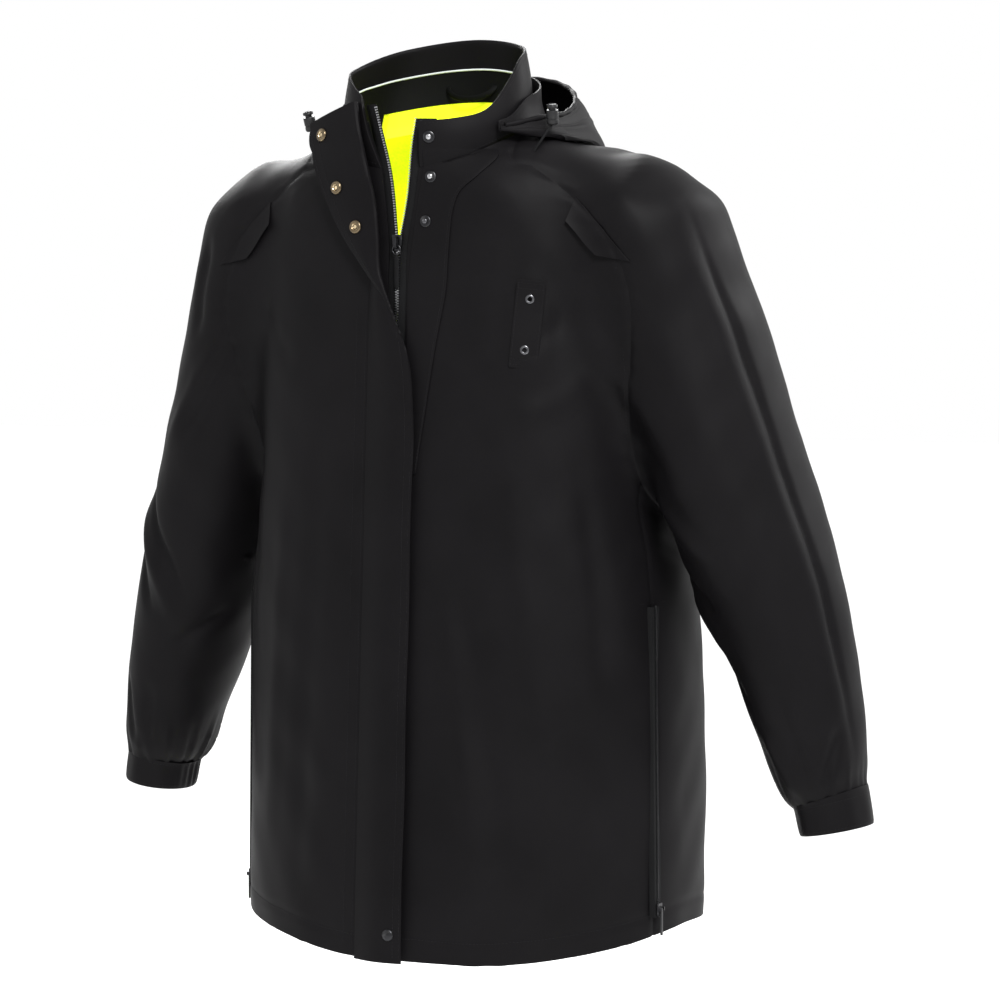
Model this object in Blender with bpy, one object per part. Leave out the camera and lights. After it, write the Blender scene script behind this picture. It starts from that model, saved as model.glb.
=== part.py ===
"""Hip-length hooded rain coat with a hi-vis lining, as it stands round an unseen wearer.

Metres. +Z is up, the front faces -Y and the wearer's left is +X. The origin is the centre of the neck base.
The shell and the lining are cut from two solids: the whole coat's outside and its inside.
"""
import math

import bmesh
import bpy
import numpy as np
from mathutils import Matrix, Vector
from mathutils.bvhtree import BVHTree

# Driving dimensions
SHELL = 0.0022  # outer fabric, with its seam allowances
LINING_DEPTH = 0.0034  # from the shell's outside to the lining's outside
LINING = 0.0016
SEAM = 0.0007  # clearance between pieces sewn edge to edge
SIDE_SEAM_Y = 0.034
ZIP_HALF_SLOT = 0.0105  # half of the slot that the zip closes
ZIP_SLOPE = 0.0523  # the front edge comes forward by this much for each metre down
SLIDER_Z = -0.101
ZIP_BOTTOM_Z = -0.780
FLAP_TOP_Z = -0.178
FLAP_BOTTOM_Z = -0.814
HEM_SNAP_Z = -0.786
FLAP_SEAM_X = -0.031
FLAP_EDGE_X = 0.026
FLAP_LIFT = 0.0080
FLAP_THICK = 0.0024
VENT_TOP_Z = -0.462
VENT_BOTTOM_Z = -0.772
SHELL_COLUMNS = 36
LINING_COLUMNS = 18
SLEEVE_COLUMNS = 20
SNAP_RADIUS = 0.0068

# Rings of the body from hem to neck: height at front, side and back, half width, front y, back y, squareness
BODY_RINGS = (
    (-0.812, -0.786, -0.800, 0.238, -0.1075, 0.288, 2.25),
    (-0.620, -0.620, -0.620, 0.237, -0.0975, 0.276, 2.35),
    (-0.450, -0.450, -0.450, 0.230, -0.0886, 0.260, 2.55),
    (-0.340, -0.340, -0.340, 0.213, -0.0828, 0.244, 2.80),
    (-0.240, -0.240, -0.240, 0.211, -0.0776, 0.224, 2.80),
    (-0.150, -0.150, -0.150, 0.213, -0.0729, 0.198, 2.60),
    (-0.098, -0.085, -0.090, 0.212, -0.0702, 0.172, 2.50),
    (-0.064, -0.033, -0.036, 0.196, -0.0692, 0.142, 2.35),
    (-0.042, -0.006, 0.004, 0.152, -0.0685, 0.112, 2.15),
    (-0.028, 0.012, 0.030, 0.098, -0.0680, 0.090, 2.00),
)
NECK = len(BODY_RINGS) - 1

# Rings of the left sleeve from shoulder to cuff: centre x, y, z, then half width outward and fore-and-aft
SLEEVE_RINGS = (
    (0.150, 0.050, -0.066, 0.058, 0.075),
    (0.197, 0.055, -0.079, 0.080, 0.088),
    (0.221, 0.064, -0.125, 0.083, 0.094),
    (0.240, 0.075, -0.185, 0.080, 0.098),
    (0.266, 0.084, -0.255, 0.074, 0.100),
    (0.297, 0.0915, -0.340, 0.070, 0.098),
    (0.325, 0.099, -0.420, 0.069, 0.090),
    (0.349, 0.102, -0.495, 0.063, 0.078),
    (0.371, 0.104, -0.570, 0.054, 0.068),
    (0.386, 0.104, -0.630, 0.045, 0.057),
    (0.394, 0.1045, -0.652, 0.037, 0.046),
    (0.400, 0.105, -0.682, 0.036, 0.044),
)
ELBOW_TOP = 5.3
ELBOW_BOTTOM = 6.7
CUFF_SEAM = 10.0

# Where the raglan sleeve meets the body, seen from the front
RAGLAN_SEAM = (
    (0.1042, 0.200),
    (0.1042, 0.0015),
    (0.135, -0.027),
    (0.170, -0.054),
    (0.213, -0.100),
    (0.233, -0.160),
    (0.2260, -0.230),
    (0.2165, -0.290),
    (0.2200, -0.350),
    (0.2450, -0.450),
)

# Edges of the open neck, seen from the front: the zip's right and left chains above the slider
RIGHT_CHAIN = ((0.000, -0.100), (-0.0085, -0.0355), (-0.0220, 0.0150), (-0.0283, 0.0370))
LEFT_CHAIN = ((0.000, -0.100), (0.0080, -0.0560), (0.0125, -0.0050), (0.0169, 0.0235))


def clear_scene():
    for thing in list(bpy.data.objects):
        bpy.data.objects.remove(thing, do_unlink=True)


def paint(name, colour, roughness, metallic=0.0):
    finish = bpy.data.materials.new(name)
    finish.use_nodes = True
    shader = finish.node_tree.nodes["Principled BSDF"]
    shader.inputs["Base Color"].default_value = (*colour, 1.0)
    shader.inputs["Roughness"].default_value = roughness
    shader.inputs["Metallic"].default_value = metallic
    finish.diffuse_color = (*colour, 1.0)
    return finish


# ---------------------------------------------------------------- shapes by formula


def smooth(rows, places):
    """Catmull-Rom values through rows at places 0, 1, 2 and so on."""
    rows = np.asarray(rows, float)
    places = np.clip(np.atleast_1d(np.asarray(places, float)), 0, len(rows) - 1)
    low = np.minimum(places.astype(int), len(rows) - 2)
    t = (places - low)[:, None]
    before = rows[np.maximum(low - 1, 0)]
    first = rows[low]
    second = rows[low + 1]
    after = rows[np.minimum(low + 2, len(rows) - 1)]
    start = (second - before) / 2
    finish = (after - first) / 2
    return (
        (2 * t**3 - 3 * t**2 + 1) * first
        + (t**3 - 2 * t**2 + t) * start
        + (3 * t**2 - 2 * t**3) * second
        + (t**3 - t**2) * finish
    )


def body_grid(places, angles):
    """Points on the body's outside. Angle 0 is the centre front and a quarter turn is the wearer's left."""
    rows = smooth(BODY_RINGS, places)[:, None, :]
    z_front, z_side, z_back, half_width, y_front, y_back, square = np.moveaxis(rows, 2, 0)
    sine = np.sin(angles)[None, :]
    cosine = np.cos(angles)[None, :]
    x = half_width * np.sign(sine) * np.abs(sine) ** (2 / square)
    y = (y_front + y_back) / 2 - (y_back - y_front) / 2 * np.sign(cosine) * np.abs(cosine) ** (2 / square)
    z = z_side + (np.where(cosine > 0, z_front, z_back) - z_side) * np.abs(cosine) ** 1.5
    return np.stack([x, y, z * np.ones_like(x)], axis=-1)


def sleeve_grid(places, angles):
    """Points on the left sleeve's outside. Angle 0 faces outward and a quarter turn faces back."""
    rows = smooth(SLEEVE_RINGS, places)
    ahead = smooth(SLEEVE_RINGS, np.asarray(places) + 0.25)
    behind = smooth(SLEEVE_RINGS, np.asarray(places) - 0.25)
    along = (ahead - behind)[:, :3]
    along /= np.linalg.norm(along, axis=1, keepdims=True)
    back = np.array([0.0, 1.0, 0.0]) - along * along[:, 1:2]
    back /= np.linalg.norm(back, axis=1, keepdims=True)
    outward = np.cross(along, back)
    outward *= np.sign(outward[:, :1])
    return (
        rows[:, None, :3]
        + outward[:, None, :] * (rows[:, None, 3:4] * np.cos(angles)[None, :, None])
        + back[:, None, :] * (rows[:, None, 4:5] * np.sin(angles)[None, :, None])
    )


def outward_normals(grid, centre_out):
    """Unit normals of a grid that wraps round its second direction."""
    along = np.gradient(grid, axis=0)
    round_it = np.roll(grid, -1, axis=1) - np.roll(grid, 1, axis=1)
    normals = np.cross(round_it, along)
    normals /= np.linalg.norm(normals, axis=2, keepdims=True)
    facing = np.sign((normals * centre_out).sum(axis=2, keepdims=True).sum())
    return normals * facing


def inset_grid(grid, depth):
    centre = grid.mean(axis=1, keepdims=True)
    return grid - outward_normals(grid, grid - centre) * depth


# ---------------------------------------------------------------- making objects


def new_object(name, points, faces, finish):
    mesh = bpy.data.meshes.new(name)
    mesh.from_pydata([tuple(map(float, point)) for point in points], [], faces)
    shape = bmesh.new()
    shape.from_mesh(mesh)
    bmesh.ops.recalc_face_normals(shape, faces=shape.faces)
    if shape.calc_volume(signed=True) < 0:
        bmesh.ops.reverse_faces(shape, faces=shape.faces)
    shape.to_mesh(mesh)
    shape.free()
    made = bpy.data.objects.new(name, mesh)
    bpy.context.scene.collection.objects.link(made)
    if finish:
        mesh.materials.append(finish)
    mesh.shade_smooth()
    mesh.set_sharp_from_angle(angle=math.radians(40))
    return made


def loft(name, grid, finish=None):
    """A closed solid through a grid's rows, each end closed by a fan."""
    rows, columns = grid.shape[:2]
    points = list(grid.reshape(-1, 3)) + [grid[0].mean(axis=0), grid[-1].mean(axis=0)]
    faces = []
    for row in range(rows - 1):
        for column in range(columns):
            after = (column + 1) % columns
            faces.append((row * columns + column, row * columns + after,
                          (row + 1) * columns + after, (row + 1) * columns + column))
    last = (rows - 1) * columns
    for column in range(columns):
        after = (column + 1) % columns
        faces.append((rows * columns, after, column))
        faces.append((rows * columns + 1, last + column, last + after))
    return new_object(name, points, faces, finish)


def plate(name, outer, inner, finish, wraps=False):
    """A closed solid between two grids of the same size, as a sheet with thickness."""
    rows, columns = outer.shape[:2]
    points = list(outer.reshape(-1, 3)) + list(inner.reshape(-1, 3))
    deep = rows * columns
    steps = columns if wraps else columns - 1
    faces = []
    for row in range(rows - 1):
        for column in range(steps):
            after = (column + 1) % columns
            quad = (row * columns + column, row * columns + after,
                    (row + 1) * columns + after, (row + 1) * columns + column)
            faces.append(quad)
            faces.append(tuple(deep + corner for corner in reversed(quad)))
    for row in (0, rows - 1):
        for column in range(steps):
            first = row * columns + column
            second = row * columns + (column + 1) % columns
            faces.append((first, deep + first, deep + second, second))
    if not wraps:
        for column in (0, columns - 1):
            for row in range(rows - 1):
                first = row * columns + column
                second = first + columns
                faces.append((first, second, deep + second, deep + first))
    return new_object(name, points, faces, finish)


def prism(name, outline, low, high, axis="Y", finish=None):
    """An outline of two coordinates, extruded along the third axis."""
    order = {"X": (2, 0, 1), "Y": (0, 2, 1), "Z": (0, 1, 2)}[axis]
    points = []
    for depth in (low, high):
        for first, second in outline:
            values = (first, second, depth)
            points.append([values[order[k]] for k in range(3)])
    count = len(outline)
    faces = [tuple(range(count)), tuple(range(2 * count - 1, count - 1, -1))]
    for corner in range(count):
        after = (corner + 1) % count
        faces.append((corner, count + corner, count + after, after))
    return new_object(name, points, faces, finish)


def box(name, low, high, finish=None):
    outline = ((low[0], low[1]), (high[0], low[1]), (high[0], high[1]), (low[0], high[1]))
    return prism(name, outline, low[2], high[2], "Z", finish)


def turned(name, profile, centre, axis, finish, segments=16, ring=False):
    """A profile of (radius, height) turned round an axis; a ring's profile is closed, clear of the axis."""
    turn = Vector((0, 0, 1)).rotation_difference(Vector(axis)).to_matrix()
    points = []
    rows = []
    for radius, height in profile:
        if radius == 0:
            rows.append([len(points)])
            points.append(Vector((0, 0, height)))
            continue
        rows.append(list(range(len(points), len(points) + segments)))
        for step in range(segments):
            angle = 2 * math.pi * step / segments
            points.append(Vector((radius * math.cos(angle), radius * math.sin(angle), height)))
    faces = []
    pairs = list(zip(rows, rows[1:]))
    if ring:
        pairs.append((rows[-1], rows[0]))
    for first, second in pairs:
        for step in range(segments):
            after = (step + 1) % segments
            if len(first) == 1:
                faces.append((first[0], second[step], second[after]))
            elif len(second) == 1:
                faces.append((first[step], second[0], first[after]))
            else:
                faces.append((first[step], second[step], second[after], first[after]))
    return new_object(name, [turn @ point + Vector(centre) for point in points], faces, finish)


def tube(name, route, radius, finish, sides=2):
    """A round cord or wire through a route of points, with filled ends."""
    curve = bpy.data.curves.new(name, "CURVE")
    curve.dimensions = "3D"
    curve.bevel_depth = radius
    curve.bevel_resolution = sides
    curve.use_fill_caps = True
    spline = curve.splines.new("POLY")
    spline.points.add(len(route) - 1)
    for point, place in zip(spline.points, route):
        point.co = (*place, 1.0)
    made = bpy.data.objects.new(name, curve)
    bpy.context.scene.collection.objects.link(made)
    curve.materials.append(finish)
    return made


def apply_modifiers(thing):
    graph = bpy.context.evaluated_depsgraph_get()
    mesh = bpy.data.meshes.new_from_object(thing.evaluated_get(graph))
    thing.modifiers.clear()
    thing.data = mesh
    return thing


def combine(thing, other, operation, keep=False):
    """Changes a thing by a Boolean with another, which goes away unless it is kept."""
    cut = thing.modifiers.new("cut", "BOOLEAN")
    cut.operation = operation
    # The EXACT solver leaves open edges where the seams graze the neck.
    cut.solver = "MANIFOLD"
    cut.object = other
    apply_modifiers(thing)
    if not keep:
        bpy.data.objects.remove(other, do_unlink=True)
    return thing


def copy_of(thing, name, finish=None):
    made = bpy.data.objects.new(name, thing.data.copy())
    bpy.context.scene.collection.objects.link(made)
    if finish:
        made.data.materials.clear()
        made.data.materials.append(finish)
    return made


def mirrored(thing, name):
    """The wearer's right copy of a left piece."""
    made = copy_of(thing, name)
    made.data.transform(Matrix.Diagonal((-1, 1, 1, 1)))
    made.data.flip_normals()
    return made


def put_origin(thing, place):
    """Moves an object's origin to a place on its joint's axis and leaves its shape where it is."""
    thing.data.transform(Matrix.Translation(-Vector(place)))
    thing.location = place
    return thing


# ---------------------------------------------------------------- the coat's own solids


def full_turn(columns):
    return np.arange(columns) * 2 * math.pi / columns


def coat_solid(name, depth, columns, through):
    """The coat as one solid, this deep below its outside. With through, it runs out of every opening."""
    places = np.array([0, 1, 2, 3, 4, 5, 6, 6.5, 7, 7.5, 8, 8.5, 9])
    body = inset_grid(body_grid(places, full_turn(columns)), depth)
    if through:
        body = np.concatenate([body[:1] - [0, 0, 0.05], body, body[-1:] + [0, 0, 0.05]])
    whole = loft(name, body)
    arm_places = np.array([0, 0.6, 1, 1.4, 2, 3, 4, ELBOW_TOP])
    arm = inset_grid(sleeve_grid(arm_places, full_turn(SLEEVE_COLUMNS)), depth)
    if through:
        arm = np.concatenate([arm, arm[-1:] + (arm[-1:] - arm[-2:-1]) * 0.5])
    left = loft("arm_left", arm)
    right = mirrored(left, "arm_right")
    combine(whole, left, "UNION")
    combine(whole, right, "UNION")
    return whole


def coat_shell(name, depth, thickness, columns, finish):
    whole = coat_solid(name, depth, columns, False)
    combine(whole, coat_solid("inside", depth + thickness, columns, True), "DIFFERENCE")
    whole.data.materials.clear()
    whole.data.materials.append(finish)
    return whole


def sleeve_region(name, shift):
    """Everything on the sleeve's side of the raglan seam, for the left sleeve."""
    outline = [(x + shift, z) for x, z in RAGLAN_SEAM]
    outline += [(0.6, RAGLAN_SEAM[-1][1]), (0.6, RAGLAN_SEAM[0][1])]
    return prism(name, outline, -0.5, 0.8)


def neck_opening(name, extra):
    """The slot for the zip, opening into the V of the neck."""
    right = [(x - ZIP_HALF_SLOT - extra, z) for x, z in RIGHT_CHAIN]
    left = [(x + ZIP_HALF_SLOT + extra, z) for x, z in LEFT_CHAIN]
    outline = [(-ZIP_HALF_SLOT - extra, -0.9)] + right + [(right[-1][0], 0.2), (left[-1][0], 0.2)]
    outline += left[::-1] + [(ZIP_HALF_SLOT + extra, -0.9)]
    return prism(name, outline, -0.5, 0.02)


def part_between(shell, name, low, high):
    """The part of a shell inside a box."""
    piece = copy_of(shell, name)
    return combine(piece, box("region", low, high), "INTERSECT")


def make_shell(finish):
    shell = coat_shell("shell", 0.0, SHELL, SHELL_COLUMNS, finish)
    sleeve_left = copy_of(shell, "raglan_sleeve_left")
    combine(sleeve_left, sleeve_region("region", SEAM / 2), "INTERSECT")
    mirrored(sleeve_left, "raglan_sleeve_right")
    region = sleeve_region("region_left", -SEAM / 2)
    combine(shell, mirrored(region, "region_right"), "DIFFERENCE")
    combine(shell, region, "DIFFERENCE")
    back = part_between(shell, "back_panel", (-1, SIDE_SEAM_Y + SEAM / 2, -1), (1, 1, 1))
    front = part_between(shell, "front_panel_left", (-1, -1, -1), (1, SIDE_SEAM_Y - SEAM / 2, 1))
    combine(front, neck_opening("slot", 0.0), "DIFFERENCE")
    right = part_between(front, "front_panel_right", (-1, -1, -1), (0, 1, 1))
    combine(front, box("region", (0, -1, -1), (1, 1, 1)), "INTERSECT")
    bpy.data.objects.remove(shell, do_unlink=True)
    return front, right, back


def make_sleeve_tubes(shell_finish, band_finish, lining_finish):
    """The sleeve below the elbow's top: the elbow's soft section, the forearm and the cuff."""
    angles = full_turn(SLEEVE_COLUMNS)
    gap = 0.01

    def piece(name, places, depth, thickness, finish):
        grid = sleeve_grid(np.array(places), angles)
        made = plate(name, inset_grid(grid, depth), inset_grid(grid, depth + thickness), finish, True)
        mirrored(made, name.replace("_left", "_right"))

    inside = LINING_DEPTH + LINING
    cuff_end = CUFF_SEAM - 0.03
    piece("elbow_section_left", (ELBOW_TOP + gap, 5.65, 6, 6.35, ELBOW_BOTTOM - gap), 0, inside, shell_finish)
    piece("forearm_sleeve_left", (ELBOW_BOTTOM, 7.3, 8, 9, 9.6, cuff_end), 0, SHELL, shell_finish)
    piece("forearm_lining_left", (ELBOW_BOTTOM, 8, 9, 9.6, cuff_end), LINING_DEPTH, LINING, lining_finish)
    piece("cuff_left", (CUFF_SEAM, 10.15, 10.85, 11), 0, 0.0042, band_finish)


def make_lining(finish):
    """The hi-vis side: one skin inside the body and shoulders, open down the front like the shell."""
    lining = coat_shell("lining_body", LINING_DEPTH, LINING, LINING_COLUMNS, finish)
    combine(lining, neck_opening("slot", 0.0), "DIFFERENCE")
    return lining


# ---------------------------------------------------------------- collar

COLLAR_STEPS = 30
PIPING_HEIGHT = 0.62  # as a share of the collar's height
# Top edge from the wearer's right front round the back to the left front: turn in degrees, height
COLLAR_TOP = ((-34, 0.048), (-60, 0.068), (-90, 0.080), (-135, 0.101), (-180, 0.110),
              (-225, 0.101), (-262, 0.086), (-282, 0.062), (-302, 0.036), (-325, 0.028), (-345, 0.027))


def collar_grid(heights, inset):
    """Points on the collar, from the neck seam (0) to the top edge (1), at an inset from its outside."""
    turns = np.linspace(0, len(COLLAR_TOP) - 1, COLLAR_STEPS)
    tops = smooth(COLLAR_TOP, turns)
    share = (tops[:, 0] - tops[0, 0]) / (tops[-1, 0] - tops[0, 0])
    base_angle = np.radians(-22 + share * (-338 + 22))
    top_angle = np.radians(tops[:, 0])
    base = body_grid([NECK], base_angle)[0] + [0, 0, 2 * SEAM]
    lean = np.clip((share - 0.75) * 4, 0, 1) * 0.006
    top = np.stack([
        (0.092 + lean) * np.sin(top_angle),
        0.010 - (0.080 + lean) * np.cos(top_angle),
        tops[:, 1],
    ], axis=-1)
    centre = np.array([0.0, 0.010, 0.0])
    rows = []
    for height in heights:
        ring = base + (top - base) * height
        away = (ring - centre) * [1, 1, 0]
        away /= np.linalg.norm(away, axis=1, keepdims=True)
        belly = 0.004 * math.sin(math.pi * height)
        rows.append(ring + away * (belly - inset))
    return np.array(rows)


def make_collar(shell_finish, band_finish, piping_finish):
    heights = (0.0, 0.3, 0.65, 1.0)
    outer = plate("collar", collar_grid(heights, 0), collar_grid(heights, 0.0032), shell_finish)
    band_heights = (0.06, 0.35, PIPING_HEIGHT, 0.98)
    plate("collar_facing", collar_grid(band_heights, 0.0040), collar_grid(band_heights, 0.0056), band_finish)
    route = collar_grid((PIPING_HEIGHT,), 0.0056 + 0.0012)[0][2:-2]
    tube("collar_piping", route, 0.0008, piping_finish)
    return outer


# ---------------------------------------------------------------- hood

HOOD_STEPS = 21
HOOD_SWEEP = 118  # degrees each way from the centre back
HOOD_THICK = 0.0024
HOOD_CLEAR = 0.0040  # above the shoulders and the back
# From the inner rim down, round and up to the outer rim, at the centre back: how far out and how high
HOOD_BACK = ((0.004, 0.078), (0.006, 0.045), (0.022, 0.010), (0.055, -0.030), (0.088, -0.040),
             (0.104, -0.018), (0.100, 0.022), (0.086, 0.054), (0.070, 0.074))
# The same at the hood's front ends, beside the collar
HOOD_FRONT = ((0.004, 0.038), (0.005, 0.031), (0.007, 0.025), (0.011, 0.020), (0.016, 0.018),
              (0.021, 0.020), (0.023, 0.026), (0.022, 0.032), (0.019, 0.038))


def hood_ring(turn):
    """The hood's section at a turn from the centre back, as points in space."""
    share = max(0.0, math.cos(turn * 90 / HOOD_SWEEP)) ** 1.6
    line = np.array(HOOD_FRONT) + (np.array(HOOD_BACK) - np.array(HOOD_FRONT)) * share
    return np.stack([
        (0.100 + line[:, 0]) * math.sin(turn),
        0.012 + (0.092 + line[:, 0]) * math.cos(turn),
        line[:, 1],
    ], axis=-1)


def make_hood(surface, shell_finish, cord_finish):
    """A pouch that hangs round the back of the collar, open at the top, with a cord along its outer rim."""
    turns = np.radians(HOOD_SWEEP) * np.linspace(-1, 1, HOOD_STEPS)
    outer = np.array([hood_ring(turn) for turn in turns])
    for point in outer.reshape(-1, 3):
        point[2] = max(point[2], surface.top(point[0], point[1]) + HOOD_CLEAR)
    normals = np.cross(np.gradient(outer, axis=0), np.gradient(outer, axis=1))
    normals /= np.linalg.norm(normals, axis=2, keepdims=True)
    plate("hood", outer, outer + normals * HOOD_THICK, shell_finish)
    rim = outer[:, -1] + normals[:, -1] * HOOD_THICK / 2 + [0, 0, 0.0030]
    tube("hood_drawcord", rim, 0.0014, cord_finish)


# ---------------------------------------------------------------- the front's surface


class Surface:
    """Finds places on the coat's outside by shining a line at it."""

    def __init__(self, things):
        whole = bmesh.new()
        for thing in things:
            part = thing.data.copy()
            part.transform(thing.matrix_world)
            whole.from_mesh(part)
        self.tree = BVHTree.FromBMesh(whole)
        whole.free()

    def front(self, x, z):
        """The height of the front at (x, z), as y and the outward normal."""
        place, normal, _, _ = self.tree.ray_cast(Vector((x, -1, z)), Vector((0, 1, 0)))
        return place.y, normal

    def side(self, y, z):
        return self.tree.ray_cast(Vector((1, y, z)), Vector((-1, 0, 0)))[0].x

    def top(self, x, y):
        place = self.tree.ray_cast(Vector((x, y, 1)), Vector((0, 0, -1)))[0]
        return place.z if place else -1.0

    def front_plate(self, name, places, low, high, finish):
        """A plate in front of the coat, over a grid of (x, z), from one lift to another."""
        places = np.asarray(places, float)
        hits = [[self.front(x, z) for x, z in row] for row in places]
        y = np.array([[hit[0] for hit in row] for row in hits])
        slant = np.array([[max(0.45, -hit[1].y) for hit in row] for row in hits])

        def layer(lift):
            return np.stack([places[..., 0], y - lift / slant, places[..., 1]], axis=-1)

        return plate(name, layer(high), layer(low), finish)


def strip(left, right, columns=2):
    """A grid of places between two edges that have the same number of points."""
    left = np.asarray(left, float)
    right = np.asarray(right, float)
    share = np.linspace(0, 1, columns)[None, :, None]
    return left[:, None, :] * (1 - share) + right[:, None, :] * share


def zip_plane(z):
    """Front y of the zip below its slider, where the coat's front edge is straight."""
    return BODY_RINGS[6][4] - ZIP_SLOPE * (BODY_RINGS[6][0] - z)


def chain_edge(chain, offset):
    """The zip's line from the hem up to the top of the neck, moved sideways by an offset."""
    low = [(0.0, z) for z in np.linspace(ZIP_BOTTOM_Z, chain[0][1] - 0.02, 4)]
    return [(x + offset, z) for x, z in low + list(chain)]


def chain_points(edge, lift):
    """Points of the zip in space, this far in front of its plane."""
    points = []
    for x, z in edge:
        y = zip_plane(z) if z < -0.05 else zip_plane(-0.05) + (z + 0.05) * 0.03
        points.append((x, y - lift, z))
    return np.array(points)


def zip_part(name, chain, inner, outer, low, high, finish):
    """One side's tape or chain: between two sideways offsets and two lifts."""
    def layer(lift):
        first = chain_points(chain_edge(chain, inner), lift)
        second = chain_points(chain_edge(chain, outer), lift)
        return np.stack([first, second], axis=1)

    return plate(name, layer(high), layer(low), finish)


def make_zip(tape, metal):
    for side, name, chain in ((-1, "right", RIGHT_CHAIN), (1, "left", LEFT_CHAIN)):
        zip_part(f"zip_tape_{name}", chain, side * 0.0032, side * 0.0098, -0.0016, -0.0007, tape)
        zip_part(f"zip_teeth_{name}", chain, side * 0.0002, side * 0.0028, -0.0024, 0.0002, metal)
    bottom = zip_plane(ZIP_BOTTOM_Z - 0.007)
    box("zip_bottom_stop", (-0.0050, bottom - 0.0014, ZIP_BOTTOM_Z - 0.014),
        (0.0050, bottom + 0.0026, ZIP_BOTTOM_Z - 0.0008), metal)


def make_slider(metal, strap):
    """The slider's front half with its bridge, its back plate, and the ring and strap that hang from it."""
    y = zip_plane(SLIDER_Z)
    top = SLIDER_Z + 0.008
    outline = ((-0.0058, top), (0.0058, top), (0.0052, SLIDER_Z - 0.001), (0.0040, SLIDER_Z - 0.008),
               (-0.0040, SLIDER_Z - 0.008), (-0.0052, SLIDER_Z - 0.001))
    slider = prism("zip_slider", outline, y - 0.0024, y - 0.0006, "Y", metal)
    bridge = prism("bridge", ((y - 0.0020, SLIDER_Z + 0.0065), (y - 0.0060, SLIDER_Z + 0.0050),
                              (y - 0.0060, SLIDER_Z - 0.0050), (y - 0.0020, SLIDER_Z - 0.0065)),
                   -0.0011, 0.0011, "X", metal)
    window = box("window", (-0.01, y - 0.0046, SLIDER_Z - 0.0040), (0.01, y - 0.0024, SLIDER_Z + 0.0040))
    combine(bridge, window, "DIFFERENCE")
    combine(slider, bridge, "UNION")
    prism("zip_slider_back", outline, y + 0.0028, y + 0.0040, "Y", metal)
    ring_top = SLIDER_Z - 0.0024
    ring_radius = 0.0046
    wire = 0.0007
    ring_y = y - 0.0035
    profile = [(ring_radius + wire * math.cos(a), wire * math.sin(a)) for a in full_turn(8)]
    ring = turned("zip_pull_ring", profile, (0, ring_y, ring_top - ring_radius), (0, 1, 0), metal, 20, True)
    strap_top = ring_top - 2 * ring_radius - wire - 0.0004
    low = (-0.0029, ring_y - 0.0010, strap_top - 0.034)
    high = (0.0029, ring_y + 0.0008, strap_top)
    pull = box("zip_pull_strap", low, high, strap)
    hinge = (0, ring_y, ring_top)
    for piece in (ring, pull):
        put_origin(piece, hinge)


# ---------------------------------------------------------------- flap, placket and trims


# The turned-back part of the storm flap: its fold beside the zip, and its free edge over the right chest
FLAP_FOLD = ((-0.0500, -0.0635, 0.040), (-0.0440, -0.0680, 0.012), (-0.0330, -0.0725, -0.025),
             (-0.0225, -0.0745, -0.060), (-0.0175, -0.0765, -0.095), (-0.0155, -0.0785, -0.130),
             (-0.0155, -0.0805, -0.168))
FLAP_EDGE = ((-0.1120, -0.0520, 0.020), (-0.1070, -0.0580, -0.003), (-0.0980, -0.0660, -0.027),
             (-0.0830, -0.0710, -0.057), (-0.0610, -0.0750, -0.093), (-0.0345, -0.0775, -0.126),
             (-0.0115, -0.0810, -0.165))


def make_flaps(shell_finish):
    """The storm flap in two pieces: buttoned down over the zip, and turned back beside the open neck."""
    heights = np.linspace(FLAP_TOP_Z, FLAP_BOTTOM_Z, 9)
    places = strip([(FLAP_SEAM_X, z) for z in heights], [(FLAP_EDGE_X, z) for z in heights], 3)
    y = zip_plane(places[..., 1])

    def layer(lift):
        return np.stack([places[..., 0], y - lift, places[..., 1]], axis=-1)

    lower = plate("storm_flap_lower", layer(FLAP_LIFT + FLAP_THICK), layer(FLAP_LIFT), shell_finish)
    put_origin(lower, (FLAP_SEAM_X, zip_plane(FLAP_TOP_Z) - FLAP_LIFT, FLAP_TOP_Z))
    grid = strip(FLAP_FOLD, FLAP_EDGE, 5)
    arch = 0.0025 * np.sin(np.linspace(0, math.pi, 5))[None, :]
    grid[..., 1] -= arch
    back = grid + [0, FLAP_THICK, 0]
    return plate("storm_flap_upper", grid, back, shell_finish)


def make_placket(surface, shell_finish):
    inner = ((0.0250, -0.040), (0.0230, -0.055), (0.0205, -0.070), (0.0185, -0.085), (0.0150, -0.115),
             (0.0125, -0.150), (0.0125, -0.200), (0.0125, -0.300))
    outer = ((0.0660, -0.040), (0.0640, -0.055), (0.0620, -0.070), (0.0605, -0.085), (0.0580, -0.115),
             (0.0545, -0.150), (0.0490, -0.200), (0.0430, -0.300))
    return surface.front_plate("placket_left", strip(inner, outer, 7), 0.0011, 0.0023, shell_finish)


def snap_profile(radius, height):
    return ((0, 0), (radius, 0), (radius, height * 0.5), (radius * 0.86, height), (radius * 0.5, height),
            (radius * 0.42, height * 0.5), (0, height * 0.5))


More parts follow.
